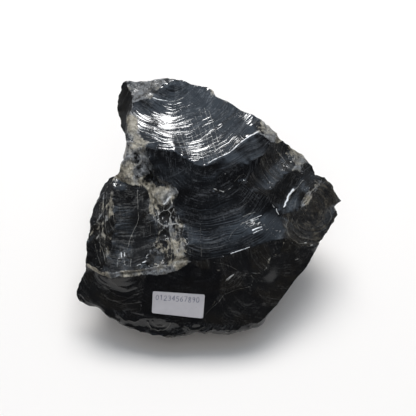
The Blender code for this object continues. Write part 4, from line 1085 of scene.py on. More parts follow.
    def batter(self):
        """Shallow notches where blows have nicked the keen ridges."""
        normal = self.normals()
        base = self.points[:, 2] < 1e-6
        beside = {}
        for name, (corners, marks) in FACETS.items():
            for a, b in zip(corners, corners[1:] + corners[:1]):
                beside.setdefault((a, b) if (a, b) in self.ridge else (b, a), []).append(self.planes[name][1][2])
        for number, (key, line) in enumerate(self.ridge.items()):
            rng = np.random.default_rng(7700 + number)
            first, second = beside[key]
            keen = math.degrees(math.acos(max(-1.0, min(1.0, first @ second))))
            if key[0][0] == key[1][0] == "B" or key in SOFT or key in WHOLE or keen < 40:
                continue
            points = self.points[line]
            length = np.linalg.norm(np.diff(points, axis=0), axis=1).sum()
            each = 0.014 if key in CLEAN else 0.005 if key in BATTERED else 0.008
            deep = 0.30 if key in CLEAN else 0.75 if key in BATTERED else 0.45
            for _ in range(int(length / each)):
                i = line[rng.integers(1, max(2, len(line) - 1))]
                if np.linalg.norm(self.points[i] - CORNERS["S12"]) < 0.014:
                    continue
                out = (first + second) / np.linalg.norm(first + second) + 0.35 * rng.normal(size=3)
                out /= np.linalg.norm(out)
                radius = MM * rng.uniform(4.0, 14.0)
                self.nick(self.points[i], out, radius, MM * deep * rng.uniform(0.3, 1.0))
        self.points[base, 2] = 0.0
        self.points[:, 2] = np.maximum(self.points[:, 2], 0.0)


def sheet(p):
    """Where the eye sees world points on the sheet."""
    d = p - EYE
    ahead = np.array([0.0, COS_E, -SIN_E])
    up = np.array([0.0, SIN_E, COS_E])
    t = EYE_UNITS / (d @ ahead)
    return np.column_stack([SHEET_CENTRE[0] + d[:, 0] * t, SHEET_CENTRE[1] - (d @ up) * t])


# Dusty and weathered places on the seen side: sheet x, y, width, height, strength
CRUST = [
    (134, 129, 7, 13, 0.85), (130, 117, 5, 7, 0.45), (141, 141, 10, 6, 0.40),
    (203, 88, 7, 3, 0.35), (213, 94, 4, 5, 0.45), (190, 84, 6, 2.5, 0.25), (228, 100, 8, 2.5, 0.2),
    (262, 129, 5, 8, 0.35), (272, 138, 7, 6, 0.30), (256, 122, 5, 4, 0.25),
    (289, 153, 12, 6, 0.60), (301, 161, 8, 6, 0.60), (297, 169, 7, 4, 0.40),
    (118, 182, 9, 5, 0.30), (113, 203, 4, 12, 0.22), (104, 203, 6, 12, 0.18), (128, 170, 8, 7, 0.25), (122, 160, 5, 6, 0.25),
    (164, 192, 12, 6.5, 0.72), (163, 200, 6, 4, 0.5), (165, 177, 14, 5, -0.45), (153, 203, 4, 10, 0.20), (178, 250, 7, 8, 0.10), (158, 250, 8, 9, 0.20), (184, 226, 5, 4, 0.5),
    (178, 262, 10, 3, 0.30), (155, 265, 10, 3, 0.25), (125, 271, 12, 2.5, 0.30), (100, 267, 9, 3, 0.25),
    (88, 275, 6, 8, 0.10), (222, 271, 14, 2.0, 0.25), (250, 273, 10, 1.6, 0.25), (268, 262, 3, 6, 0.25),
    (318, 186, 6, 8, 0.20), (308, 200, 5, 9, 0.20), (335, 205, 5, 8, 0.10), (170, 325, 5, 4, 0.35),
    (152, 327, 9, 4, 0.05), (218, 284, 2.5, 8, 0.2), (164, 216, 5, 5, -0.5), (163, 234, 5, 5, -0.4), (148, 179, 4, 5, -0.5),
]
# Places where the crust lies in upright streaks
STREAKED = [(106, 206, 8, 26, 0.36), (101, 248, 8, 14, 0.35), (173, 243, 9, 17, 0.36), (153, 208, 4, 16, 0.60), (118, 256, 16, 9, 0.20), (178, 212, 4, 12, 0.40), (141, 183, 8, 8, 0.3)]
# Places where the ribs are taller or lower
RIBBED = [(257, 224, 8, 13, 1.6), (158, 124, 22, 11, 1.1), (190, 150, 14, 10, 0.6), (226, 138, 26, 16, -0.5), (184, 100, 40, 9, -0.25), (238, 114, 28, 13, 0.55), (214, 96, 16, 8, 0.45), (128, 205, 12, 22, 0.5), (250, 218, 40, 8, 0.4), (215, 192, 40, 16, -0.35)]
SPALLED = [
    (125, 257, 9, 5, 0.5), (142, 261, 9, 4, 0.5), (112, 234, 4, 4, 0.6), (100, 250, 8, 10, 0.3), (218, 191, 9, 4, 0.4),
    (242, 180, 8, 6, 0.35), (307, 243, 8, 3, 0.5), (300, 259, 6, 3, 0.4), (290, 160, 10, 8, 0.3), (80, 292, 3, 4, 0.4),
]
LINED = [(191, 145, 22, 11, 0.8), (160, 128, 26, 14, 0.3), (193, 242, 14, 16, 0.6), (225, 235, 40, 14, 0.3)]

stone = Stone()
stone.batter()
print("stone:", len(stone.points), "points", len(stone.triangles), "triangles")


def shell_mesh(name, points, triangles):
    mesh = bpy.data.meshes.new(name)
    mesh.vertices.add(len(points))
    mesh.vertices.foreach_set("co", np.asarray(points, np.float32).ravel())
    mesh.loops.add(3 * len(triangles))
    mesh.loops.foreach_set("vertex_index", np.asarray(triangles, np.int32).ravel())
    mesh.polygons.add(len(triangles))
    mesh.polygons.foreach_set("loop_start", np.arange(0, 3 * len(triangles), 3, dtype=np.int32))
    mesh.update(calc_edges=True)
    mesh.validate()
    ob = bpy.data.objects.new(name, mesh)
    bpy.context.scene.collection.objects.link(ob)
    return ob


stone_ob = shell_mesh("stone", stone.points, stone.triangles)
mesh = stone_ob.data
mesh.shade_smooth()
mesh.set_sharp_from_angle(angle=math.radians(33))

# Wear at every point: how much crust lies there, how dull the glass is, how near the ridges of the
# small scoops are, and how strongly hairlines show
seen = np.zeros(len(stone.points), bool)
crust, dull, line, spall, arc, streak = (np.zeros(len(stone.points)) for _ in range(6))
share = np.zeros(len(stone.points))
for number, name in enumerate(stone.names):
    mine = np.unique(stone.triangles[stone.owner == number])
    look = stone.look(name)
    crust[mine] += look["crust"]
    dull[mine] += look["dull"]
    line[mine] += look["line"]
    spall[mine] += look["spall"]
    arc[mine] += look["arc"]
    share[mine] += 1
    if name not in HIDDEN:
        seen[mine] = True
for level in (crust, dull, line, spall, arc):
    level /= np.maximum(share, 1)
on_sheet = sheet(stone.points)
ribbed = np.ones(len(stone.points))
for level, blobs in ((crust, CRUST), (line, LINED), (spall, SPALLED), (ribbed, RIBBED), (streak, STREAKED)):
    for x, y, wide, tall, strength in blobs:
        far = ((on_sheet[:, 0] - x) / wide) ** 2 + ((on_sheet[:, 1] - y) / tall) ** 2
        level += strength * np.exp(-far) * seen
for keys, reach, strength in ((CLEAN, 0.0005, 0.35), (BATTERED, 0.0016, 0.42), (None, 0.0009, 0.40)):
    lines = [
        ids
        for key, ids in stone.ridge.items()
        if (key in keys if keys else key not in CLEAN and key not in BATTERED and key not in SOFT)
    ]
    ids = sorted(set(i for path in lines for i in path))
    tree = KDTree(len(ids))
    for k, i in enumerate(ids):
        tree.insert(stone.points[i], k)
    tree.balance()
    d = np.array([tree.find(p)[2] for p in stone.points])
    crust += strength * np.exp(-((d / reach) ** 2)) * (0.55 + 0.6 * noise(stone.points, 0.006, 20))
crust += 0.06 * noise(stone.points, 0.018, 21)
extra = np.column_stack([np.clip(arc, 0, 2), np.clip(streak, 0, 1), np.zeros(len(arc))])
made = mesh.attributes.new("lay", "FLOAT_VECTOR", "POINT")
made.data.foreach_set("vector", extra.astype(np.float32).ravel())
wear = np.column_stack([np.clip(crust, 0, 1.5), np.clip(dull, 0, 1), np.clip(stone.gap, 0, 9)])
# offset, paleness and half width of the nearest line; its paleness also carries the painted highlights and glints
made = mesh.attributes.new("seam", "FLOAT_VECTOR", "POINT")
made.data.foreach_set("vector", stone.seam.astype(np.float32).ravel())
extra = np.column_stack([np.clip(line, 0, 2), np.clip(spall, 0, 1.5), ribbed])
made = mesh.attributes.new("extra", "FLOAT_VECTOR", "POINT")
made.data.foreach_set("vector", extra.astype(np.float32).ravel())
made = mesh.attributes.new("wear", "FLOAT_VECTOR", "POINT")
made.data.foreach_set("vector", wear.astype(np.float32).ravel())

corners = stone.points[stone.triangles]  # triangle, corner, xyz
flow = np.zeros((len(stone.triangles), 3, 3))
grain = np.zeros_like(flow)
for number, name in enumerate(stone.names):
    mine = stone.owner == number
    look = stone.look(name)
    p = corners[mine].reshape(-1, 3)
    r, s = stone.flow(name, p)
    r = r + 1.6 * noise(p, 0.014, 3) + 0.5 * noise(p, 0.005, 4)
    flow[mine] = np.column_stack([r, s, np.full(len(r), 7.3 * number)]).reshape(-1, 3, 3)
    grain[mine] = (look["rib"], look["hackle"], look["grit"])
for name, values in (("flow", flow), ("grain", grain)):
    made = mesh.attributes.new(name, "FLOAT_VECTOR", "CORNER")
    made.data.foreach_set("vector", values.astype(np.float32).ravel())


class Tree:
    """Short names for building a material's nodes."""

    def __init__(self, material):
        material.use_nodes = True
        self.tree = material.node_tree
        self.tree.nodes.clear()

    def add(self, kind, values=(), **settings):
        made = self.tree.nodes.new(kind)
        for key, value in settings.items():
            setattr(made, key, value)
        for key, value in dict(values).items():
            self.put(made.inputs[key], value)
        return made

    def put(self, socket, value):
        if isinstance(value, bpy.types.NodeSocket):
            self.tree.links.new(value, socket)
        else:
            socket.default_value = value

    def math(self, operation, a, b=None, c=None, clamp=False):
        made = self.tree.nodes.new("ShaderNodeMath")
        made.operation, made.use_clamp = operation, clamp
        for socket, value in zip(made.inputs, (a, b, c)):
            if value is not None:
                self.put(socket, value)
        return made.outputs[0]

    def scaled(self, vector, by):
        return self.add("ShaderNodeVectorMath", {0: vector, 1: by}, operation="MULTIPLY").outputs[0]

    def noise(self, vector, scale=1.0, detail=2.0, rough=0.5, bend=0.0):
        values = {"Vector": vector, "Scale": scale, "Detail": detail, "Roughness": rough, "Distortion": bend}
        return self.add("ShaderNodeTexNoise", values).outputs["Fac"]

    def between(self, value, low, high, to_low=0.0, to_high=1.0, kind="SMOOTHSTEP"):
        values = {"Value": value, "From Min": low, "From Max": high, "To Min": to_low, "To Max": to_high}
        return self.add("ShaderNodeMapRange", values, interpolation_type=kind).outputs["Result"]

    def mix(self, factor, a, b):
        made = self.add("ShaderNodeMix", data_type="RGBA")
        colours = [s for s in made.inputs if s.type == "RGBA"]
        self.put(made.inputs[0], factor)
        self.put(colours[0], a)
        self.put(colours[1], b)
        return next(s for s in made.outputs if s.type == "RGBA")


def stone_material():
    material = bpy.data.materials.new("volcanic_glass")
    t = Tree(material)
    flow = t.add("ShaderNodeAttribute", attribute_name="flow").outputs["Vector"]
    grain = t.add("ShaderNodeAttribute", attribute_name="grain").outputs["Vector"]
    wear = t.add("ShaderNodeAttribute", attribute_name="wear").outputs["Vector"]
    seam = t.add("ShaderNodeAttribute", attribute_name="seam").outputs["Vector"]
    extra = t.add("ShaderNodeAttribute", attribute_name="extra").outputs["Vector"]
    place = t.add("ShaderNodeTexCoord").outputs["Object"]
    rib_size, hackle_size, grit_size = t.add("ShaderNodeSeparateXYZ", {0: grain}).outputs[:3]
    crust, dull, gap = t.add("ShaderNodeSeparateXYZ", {0: wear}).outputs[:3]
    line, spall, ribbed = t.add("ShaderNodeSeparateXYZ", {0: extra}).outputs[:3]
    lay = t.add("ShaderNodeAttribute", attribute_name="lay").outputs["Vector"]
    arc, streak = t.add("ShaderNodeSeparateXYZ", {0: lay}).outputs[:2]
    off, pale, half = t.add("ShaderNodeSeparateXYZ", {0: seam}).outputs[:3]

    # where the crust lies: patches, and crumbs along the ridges of the small scoops
    fine = t.noise(place, 480.0, 5.0, 0.65)
    fine_off = t.math("SUBTRACT", fine, 0.5)
    broad = t.noise(place, 95.0, 2.0, 0.5)
    net = t.between(t.math("ADD", gap, t.math("MULTIPLY", fine_off, 0.5)), 0.05, 0.50, 1.0, 0.0)
    beside = t.math("MULTIPLY", t.between(off, 0.3, 1.8, 0.30, 0.0), pale)
    uneven = t.between(t.noise(place, 210.0, 2.0, 0.5), 0.36, 0.64, 0.55, 1.35)
    off = t.math("DIVIDE", t.math("ADD", off, t.math("MULTIPLY", fine_off, 0.9)), t.math("MULTIPLY", half, uneven))
    fibre = t.noise(t.scaled(place, (800.0, 90.0, 90.0)), 1.0, 2.0, 0.6)
    fibre = t.math("MULTIPLY", t.between(fibre, 0.44, 0.60), streak)
    # pale strokes: crushed glass lines, and white strokes that are painted highlights and glints
    crushed_and_glint = t.math("MULTIPLY", t.between(off, 0.35, 1.0, 1.0, 0.0), pale, clamp=True)
    cover = t.math("ADD", crust, t.math("MULTIPLY", fine_off, 1.1))
    cover = t.math("ADD", cover, t.math("MULTIPLY", t.math("SUBTRACT", broad, 0.5), 0.8))
    cover = t.math("ADD", cover, t.math("MULTIPLY", net, 0.34))
    cover = t.math("ADD", cover, t.math("ADD", fibre, beside))
    cover = t.between(cover, 0.40, 0.66)

    # ribs: ripples round the blow, long across the flow and short along it, with keen crests
    ribs = t.noise(t.scaled(flow, (1 / 3.4, 1 / 55.0, 1.0)), 1.0, 1.0, 0.5)
    crest = t.math("ABSOLUTE", t.math("SUBTRACT", ribs, 0.5))
    mid = t.noise(t.scaled(flow, (1 / 1.6, 1 / 34.0, 1.6)), 1.0, 1.0, 0.5)
    small = t.noise(t.scaled(flow, (1 / 0.80, 1 / 18.0, 2.6)), 1.0, 1.0, 0.5)
    where = t.between(t.noise(t.scaled(flow, (1 / 9.0, 1 / 12.0, 1.3)), 1.0, 2.0), 0.38, 0.62, 0.35, 1.15)
    rib = t.math("ADD", t.math("MULTIPLY", crest, -0.8), t.math("MULTIPLY", t.math("SUBTRACT", mid, 0.5), 0.95))
    rib = t.math("ADD", rib, t.math("MULTIPLY", t.math("SUBTRACT", small, 0.5), 0.30))
    rib = t.math("MULTIPLY", t.math("MULTIPLY", t.math("MULTIPLY", rib, where), rib_size), ribbed)
    # dust that lies along the ribs, in lines, and in specks between them
    laid = t.between(t.noise(t.scaled(flow, (1 / 1.35, 1 / 24.0, 7.1)), 1.0, 2.0, 0.55), 0.50, 0.64, 0.0, 1.0)
    thin = t.between(t.noise(t.scaled(flow, (1 / 0.80, 1 / 13.0, 8.3)), 1.0, 2.0, 0.55), 0.52, 0.66, 0.0, 0.8)
    mottle = t.between(t.noise(place, 620.0, 4.0, 0.7), 0.47, 0.68, 0.0, 0.8)
    patchy = t.between(t.noise(t.scaled(flow, (1 / 8.0, 1 / 12.0, 3.7)), 1.0, 3.0, 0.6), 0.40, 0.64, 0.05, 1.0)
    broken = t.between(t.noise(place, 420.0, 3.0, 0.7), 0.40, 0.58, 0.35, 1.15)
    lines = t.math("MULTIPLY", t.math("ADD", laid, thin), broken)
    dusty = t.math("MULTIPLY", t.math("ADD", lines, mottle), t.math("MULTIPLY", patchy, arc), clamp=True)
    # hackles: steps that run out from the blow
    steps = t.noise(t.scaled(flow, (1 / 26.0, 1 / 1.1, 1.7)), 1.0, 1.5, 0.5)
    steps = t.math("ABSOLUTE", t.math("SUBTRACT", steps, 0.5))
    there = t.between(t.noise(t.scaled(flow, (1 / 17.0, 1 / 21.0, 2.9)), 1.0, 1.0), 0.44, 0.60)
    hackle = t.math("MULTIPLY", t.math("MULTIPLY", steps, there), hackle_size)
    # hairlines: thin crushed lines along some ribs and some hackles
    along = t.noise(t.scaled(flow, (1 / 3.0, 1 / 70.0, 3.1)), 1.0, 1.0, 0.5)
    along = t.between(t.math("ABSOLUTE", t.math("SUBTRACT", along, 0.5)), 0.0, 0.030, 1.0, 0.0)
    out = t.noise(t.scaled(flow, (1 / 110.0, 1 / 3.4, 4.3)), 1.0, 1.0, 0.5)
    out = t.between(t.math("ABSOLUTE", t.math("SUBTRACT", out, 0.5)), 0.0, 0.022, 1.0, 0.0)
    some = t.between(t.noise(t.scaled(flow, (1 / 6.0, 1 / 14.0, 5.1)), 1.0, 2.0), 0.46, 0.62)
    other = t.between(t.noise(t.scaled(flow, (1 / 18.0, 1 / 6.0, 6.7)), 1.0, 2.0), 0.50, 0.62)
    hair = t.math("MAXIMUM", t.math("MULTIPLY", along, some), t.math("MULTIPLY", out, other))
    hair = t.math("MULTIPLY", hair, line)
    # spalls: tiny flat scars of crushed glass, each tilted its own way
    cells = t.add("ShaderNodeVectorMath", {0: place, 1: (520.0, 520.0, 520.0)}, operation="MULTIPLY").outputs[0]
    crumbs = t.add("ShaderNodeTexNoise", {"Vector": cells, "Scale": 0.8, "Detail": 1.0}).outputs["Color"]
    crumbs = t.add("ShaderNodeVectorMath", {0: crumbs, 1: (1.2, 1.2, 1.2), 2: cells}, operation="MULTIPLY_ADD").outputs[0]
    scars = t.add("ShaderNodeTexVoronoi", {"Vector": crumbs, "Scale": 1.0})
    lean = t.add("ShaderNodeVectorMath", {0: scars.outputs["Color"], 1: (0.5, 0.5, 0.5)}, operation="SUBTRACT").outputs[0]
    reach = t.add("ShaderNodeVectorMath", {0: crumbs, 1: scars.outputs["Position"]}, operation="SUBTRACT").outputs[0]
    scar = t.add("ShaderNodeVectorMath", {0: lean, 1: reach}, operation="DOT_PRODUCT").outputs["Value"]
    scar = t.math("MULTIPLY", t.math("MULTIPLY", scar, spall), 1.9 * 0.9)
    # pits and lumps of worn places
    pits = t.noise(place, 1150.0, 3.0, 0.6)
    worn = t.math("MAXIMUM", grit_size, t.math("MULTIPLY", cover, 0.05))
    pit = t.math("MULTIPLY", t.math("SUBTRACT", pits, 0.5), worn)
    height = t.math("ADD", t.math("ADD", rib, hackle), t.math("ADD", pit, t.math("MULTIPLY", cover, 0.05)))
    height = t.math("ADD", height, t.math("MULTIPLY", hair, -0.03))
    crags = t.math("MULTIPLY", t.math("SUBTRACT", t.noise(place, 330.0, 4.0, 0.65), 0.5), 0.55)
    height = t.math("ADD", height, t.math("MULTIPLY", crags, cover))
    height = t.math("ADD", height, t.math("ADD", scar, t.math("MULTIPLY", crushed_and_glint, 0.05)))
    height = t.math("MULTIPLY", height, 0.001)
    bump = t.add("ShaderNodeBump", {"Height": height, "Distance": 1.0, "Strength": 1.0})

    tone = t.between(t.noise(place, 260.0, 5.0, 0.65), 0.36, 0.64)
    tone = t.math("ADD", t.math("MULTIPLY", tone, 0.75), t.math("MULTIPLY", lines, 0.30), clamp=True)
    hue = t.between(t.noise(place, 75.0, 3.0, 0.5), 0.42, 0.60)
    grey = t.mix(tone, (0.045, 0.048, 0.052, 1), (0.270, 0.280, 0.290, 1))
    beige = t.mix(tone, (0.075, 0.067, 0.050, 1), (0.420, 0.385, 0.310, 1))
    dust = t.mix(hue, grey, beige)
    film = t.noise(t.scaled(flow, (1 / 4.5, 1 / 14.0, 2.3)), 1.0, 6.0, 0.75)
    film = t.math("MULTIPLY", t.between(film, 0.30, 0.72, 0.15, 1.0), dull)
    earth = t.between(t.noise(place, 60.0, 3.0, 0.6), 0.42, 0.62)
    veil = t.mix(earth, (0.017, 0.017, 0.017, 1), (0.027, 0.023, 0.017, 1))
    glass = t.mix(film, (0.0024, 0.0026, 0.0034, 1), veil)
    glass = t.mix(dusty, glass, t.mix(dull, (0.066, 0.070, 0.076, 1), (0.072, 0.065, 0.052, 1)))
    glass = t.mix(t.math("MULTIPLY", hair, 0.6, clamp=True), glass, (0.16, 0.17, 0.185, 1))
    speck = t.between(t.noise(place, 1000.0, 1.0, 0.5), 0.70, 0.76)
    glass = t.mix(t.math("MULTIPLY", speck, t.math("MULTIPLY", line, 0.8), clamp=True), glass, (0.16, 0.16, 0.16, 1))
    chalk = t.mix(tone, (0.12, 0.115, 0.100, 1), (0.43, 0.42, 0.385, 1))
    dust = t.mix(t.between(crust, 0.75, 1.15), dust, chalk)
    colour = t.mix(cover, glass, dust)
    # the palest strokes go near-white as painted highlights and glints; weaker ones stay chalky crushed lines
    chalk_and_glint_white = t.mix(t.math("POWER", pale, 3.0), chalk, (0.80, 0.82, 0.84, 1))
    colour = t.mix(crushed_and_glint, colour, chalk_and_glint_white)
    sheen = t.between(t.noise(place, 150.0, 3.0, 0.6), 0.3, 0.7, 0.03, 0.07)
    rough = t.math("ADD", t.math("MULTIPLY", cover, 0.45), sheen)
    rough = t.math("ADD", rough, t.math("MULTIPLY", crushed_and_glint, 0.3))
    rough = t.math("ADD", rough, t.math("MULTIPLY", dull, 0.22), clamp=True)
    shader = t.add(
        "ShaderNodeBsdfPrincipled",
        {"Base Color": colour, "Roughness": rough, "Normal": bump.outputs["Normal"], "IOR": 1.49},
    )
    t.add("ShaderNodeOutputMaterial", {"Surface": shader.outputs[0]})
    return material


mesh.materials.append(stone_material())
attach(stone_ob, "root")
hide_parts("obsidian_chunk")

# The label: paper that lies on the stone and follows it
LABEL_CORNERS = np.array([(152.9, 291.1), (204.9, 294.5), (203.0, 318.4), (151.8, 312.8)])
TURNED = stone.planes["front_middle"][1]
surface = BVHTree.FromPolygons([tuple(p) for p in stone.points], [tuple(int(i) for i in t) for t in stone.triangles])


def on_face(x, y, lift):
    """The world point over the front face where the eye sees sheet place (x, y), lift metres off it."""
    start = Vector(EYE)
    hit = surface.ray_cast(start, (Vector(spot(x, y, 0.0)) - start).normalized())
    return np.array(hit[0]) + TURNED[2] * lift


def label_place(s, t):
    top_left, top_right, low_right, low_left = LABEL_CORNERS
    return (1 - t) * ((1 - s) * low_left + s * low_right) + t * ((1 - s) * top_left + s * top_right)


def sheet_piece(name, rim, cells, low, high):
    """A thin closed sheet over the label's places, from low to high metres off the stone."""
    places = np.array(rim + cells)
    foot = np.array([on_face(*label_place(s, t), 0.0) for s, t in places])
    # paper bridges the stone's small unevenness
    flat = np.column_stack([np.ones(len(places)), places, places**2, places[:, :1] * places[:, 1:]])
    way = foot @ TURNED.T
    fit = flat @ np.linalg.lstsq(flat, way[:, 2], rcond=None)[0]
    way[:, 2] = fit + max(0.0, float((way[:, 2] - fit).max()) - 0.0002)
    foot = way @ TURNED
    n = len(places)
    _, _, faces, origins, _, _ = delaunay_2d_cdt(
        [Vector(p) for p in places], [(i, (i + 1) % len(rim)) for i in range(len(rim))], [], 1, 1e-9
    )
    points = np.concatenate([foot + TURNED[2] * low, foot + TURNED[2] * high])
    triangles = []
    for face in faces:
        a, b, c = (origins[i][0] for i in face)
        p, q, r = places[a], places[b], places[c]
        if (q[0] - p[0]) * (r[1] - p[1]) - (q[1] - p[1]) * (r[0] - p[0]) < 0:
            b, c = c, b
        triangles += [(a + n, b + n, c + n), (a, c, b)]
    for i in range(len(rim)):
        j = (i + 1) % len(rim)
        triangles += [(i, j, j + n), (i, j + n, i + n)]
    return shell_mesh(name, points, triangles), places


# Pen strokes of plain digits, in a box 4 wide and 6 high
STROKES = {
    "1": [(0.8, 4.8), (2.2, 6), (2.1, 0)],
    "2": [(0.2, 4.8), (1.2, 5.9), (3.0, 5.8), (3.7, 4.4), (2.8, 2.8), (0.1, 0.1), (4.0, 0.0)],
    "3": [(0.3, 5.4), (2.0, 6.0), (3.6, 4.9), (3.2, 3.6), (1.6, 3.2), (3.4, 2.7), (3.9, 1.3), (2.6, 0.1), (0.2, 0.5)],
    "4": [(2.9, 0.0), (3.0, 6.0), (0.1, 1.9), (4.1, 2.0)],
    "5": [(3.8, 6.0), (0.8, 5.9), (0.5, 3.5), (2.6, 3.8), (3.8, 2.4), (3.2, 0.6), (1.6, 0.0), (0.1, 0.6)],
    "6": [(3.3, 5.9), (1.2, 4.4), (0.2, 2.2), (0.7, 0.4), (2.2, 0.0), (3.6, 1.0), (3.4, 2.7), (2.0, 3.3), (0.4, 2.4)],
    "7": [(0.1, 5.9), (3.9, 6.0), (1.5, 0.0)],
    "8": [(2.1, 3.2), (0.5, 4.5), (1.2, 5.9), (2.9, 5.9), (3.5, 4.5), (0.4, 1.7), (0.8, 0.2), (3.0, 0.0), (3.8, 1.5), (2.1, 3.2)],
    "9": [(3.6, 4.6), (2.4, 5.9), (0.8, 5.5), (0.4, 4.0), (1.6, 3.1), (3.5, 4.3), (3.2, 1.8), (1.6, 0.0)],
    "0": [(2.0, 6.0), (0.5, 4.8), (0.1, 2.4), (1.0, 0.2), (2.8, 0.1), (3.9, 2.2), (3.5, 4.9), (2.0, 6.0)],
}


def pen(places):
    """Distance in mm from label places to the pen strokes of the digits."""
    at = places * np.array([38.7, 18.6])
    best = np.full(len(at), 9.0)
    for k, digit in enumerate("01234567890"):
        left, foot = 2.4 + 3.02 * k, 11.7 + 0.25 * math.sin(2.1 * k) + 0.03 * k
        line = np.array([(left + 0.52 * x + 0.03 * y, foot + 0.66 * y) for x, y in STROKES[digit]])
        for p, q in zip(line, line[1:]):
            d = q - p
            t = np.clip(((at - p) @ d) / (d @ d), 0, 1)
            best = np.minimum(best, np.linalg.norm(at - p - t[:, None] * d, axis=1))
    return best


def label_rim(cells=(150, 74), corner=0.0013):
    wide, tall = 52 * UNIT, 25 * UNIT
    rx, ry = corner / wide, corner / tall
    rim = []
    for cx, cy, start in ((1 - rx, ry, -90), (1 - rx, 1 - ry, 0), (rx, 1 - ry, 90), (rx, ry, 180)):
        for k in range(7):
            t = math.radians(start + 15 * k)
            rim.append((cx + rx * math.cos(t), cy + ry * math.sin(t)))
    full = []
    for p, q in zip(rim, rim[1:] + rim[:1]):
        count = max(1, round(max(abs(q[0] - p[0]) * cells[0], abs(q[1] - p[1]) * cells[1])))
        full += [(p[0] + (q[0] - p[0]) * k / count, p[1] + (q[1] - p[1]) * k / count) for k in range(count)]
    inner = [(i / cells[0], j / cells[1]) for j in range(1, cells[1]) for i in range(1, cells[0])]
    return full, inner


def paper_material():
    material = bpy.data.materials.new("label_paper")
    t = Tree(material)
    place = t.add("ShaderNodeTexCoord").outputs["Object"]
    fibres = t.noise(place, 2600.0, 4.0, 0.6)
    smudge = t.between(t.noise(place, 95.0, 3.0, 0.55), 0.35, 0.75)
    colour = t.mix(smudge, (0.50, 0.485, 0.505, 1), (0.45, 0.437, 0.46, 1))
    soiled = t.between(t.noise(place, 420.0, 3.0, 0.6), 0.62, 0.74)
    colour = t.mix(t.math("MULTIPLY", soiled, 0.25), colour, (0.30, 0.28, 0.25, 1))
    pen = t.add("ShaderNodeAttribute", attribute_name="pen").outputs["Fac"]
    pen = t.math("ADD", pen, t.math("MULTIPLY", t.math("SUBTRACT", fibres, 0.5), 0.16))
    ink = t.math("MULTIPLY", t.between(pen, 0.16, 0.36, 1.0, 0.0), t.between(t.noise(place, 330.0, 2.0, 0.5), 0.3, 0.7, 0.65, 1.0))
    colour = t.mix(ink, colour, (0.09, 0.10, 0.15, 1))
    bump = t.add("ShaderNodeBump", {"Height": t.math("MULTIPLY", fibres, 0.00003), "Distance": 1.0, "Strength": 1.0})
    shader = t.add(
        "ShaderNodeBsdfPrincipled",
        {"Base Color": colour, "Roughness": 0.6, "Normal": bump.outputs["Normal"]},
    )
    t.add("ShaderNodeOutputMaterial", {"Surface": shader.outputs[0]})
    return material


rim, cells = label_rim()
label, places = sheet_piece("label", rim, cells, 0.0002, 0.0004)
made = label.data.attributes.new("pen", "FLOAT", "POINT")
made.data.foreach_set("value", np.concatenate([np.full(len(places), 9.0), pen(places)]).astype(np.float32))
label.data.set_sharp_from_angle(angle=math.radians(40))
label.data.materials.append(paper_material())
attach(label, "root")
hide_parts("paper_label")

# Studio: pale floor, a broad cool light overhead, one compact lamp, two broad lamps and a dim front
floor = bpy.data.objects.new("floor", bpy.data.meshes.new("floor"))
floor.data.from_pydata([(-12, -12, 0), (12, -12, 0), (12, 12, 0), (-12, 12, 0)], [], [(0, 1, 2, 3)])
bpy.context.scene.collection.objects.link(floor)
pale = bpy.data.materials.new("pale_floor")
t = Tree(pale)
shader = t.add("ShaderNodeBsdfPrincipled", {"Base Color": (0.895, 0.862, 0.828, 1), "Roughness": 0.8, "Specular IOR Level": 0.0})
t.add("ShaderNodeOutputMaterial", {"Surface": shader.outputs[0]})
floor.data.materials.append(pale)
floor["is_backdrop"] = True


def lamp(name, elevation, azimuth, distance, size, power, colour=(1, 1, 1)):
    """A soft lamp aimed at the stone. Elevation runs from the front horizon over the top to the back."""
    data = bpy.data.lights.new(name, "AREA")
    data.shape, data.size, data.size_y, data.energy, data.color = "RECTANGLE", *size, power, colour
    ob = bpy.data.objects.new(name, data)
    bpy.context.scene.collection.objects.link(ob)
    e, a = math.radians(elevation), math.radians(azimuth)
    way = Vector((math.sin(a) * 1.0, -math.cos(e) * math.cos(a), math.sin(e) * math.cos(a)))
    aim = Vector((0, -0.01, 0.07))
    ob.location = aim + way * distance
    ob.rotation_euler = way.to_track_quat("Z", "Y").to_euler()
    return ob


# seen as a bright window in the glass
key = lamp("key", 110, -2, 1.0, (0.23, 0.13), 4.2)
key.visible_diffuse = False
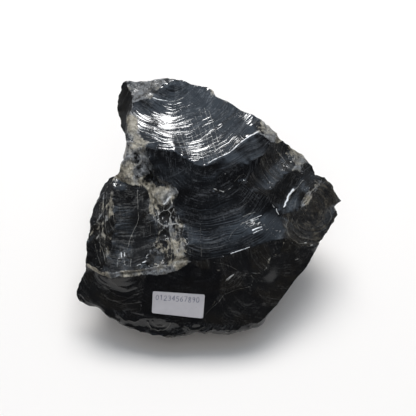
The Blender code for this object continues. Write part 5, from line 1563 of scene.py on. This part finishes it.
# light the floor and the dusty places
soft = lamp("soft", 110, 0, 1.6, (1.0, 1.0), 23.0)
fill = lamp("fill", 50, 0, 2.2, (1.8, 1.8), 12.0)
for ob in (soft, fill):
    ob.visible_glossy = False
    ob.visible_camera = False

world = bpy.data.worlds.new("studio")
bpy.context.scene.world = world
t = Tree(world)
way = t.add("ShaderNodeTexCoord").outputs["Generated"]


def along(axis):
    return t.add("ShaderNodeVectorMath", {0: way, 1: axis}, operation="DOT_PRODUCT").outputs["Value"]


# a long soft box overhead, left to right, a little behind the stone, with a softer edge than middle
side, over = along((0.9962, 0, -0.0872)), along((0.0871, 0.0262, 0.9959))
fore, broad_fore = along((0, 0.9998, -0.0175)), along((0, 0.9994, -0.0349))
side = t.math("MULTIPLY", t.math("MULTIPLY", side, side), -5.0)
narrow = t.math("EXPONENT", t.math("ADD", side, t.math("MULTIPLY", t.math("MULTIPLY", fore, fore), -26.0)))
broad = t.math("EXPONENT", t.math("ADD", side, t.math("MULTIPLY", t.math("MULTIPLY", broad_fore, broad_fore), -11.0)))
off = t.math("ADD", t.math("MULTIPLY", narrow, 0.74), t.math("MULTIPLY", broad, 0.22))
box = t.math("MULTIPLY", off, t.between(over, 0.0, 0.2))
behind = t.between(t.add("ShaderNodeSeparateXYZ", {0: way}).outputs[1], -0.35, 0.5)
low = t.mix(behind, (0.05, 0.05, 0.053, 1), (0.30, 0.31, 0.33, 1))
sky = t.add(
    "ShaderNodeVectorMath", {0: (1.10, 1.38, 1.72), 1: t.add("ShaderNodeCombineXYZ", {0: box, 1: box, 2: box}).outputs[0], 2: low}, operation="MULTIPLY_ADD"
).outputs["Vector"]
shine = t.add("ShaderNodeBackground", {"Color": sky, "Strength": 1.0})
t.add("ShaderNodeOutputWorld", {"Surface": shine.outputs[0]})

camera = bpy.data.objects.new("camera", bpy.data.cameras.new("camera"))
bpy.context.scene.collection.objects.link(camera)
camera.location = EYE
camera.rotation_euler = (math.radians(90 - EYE_ELEVATION), 0, 0)
camera.data.sensor_width = 36.0
camera.data.lens = 36.0 * EYE_UNITS / 416
camera.data.clip_start = 0.05
bpy.context.scene.camera = camera
bpy.context.scene.view_settings.view_transform = "Standard"

low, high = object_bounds()
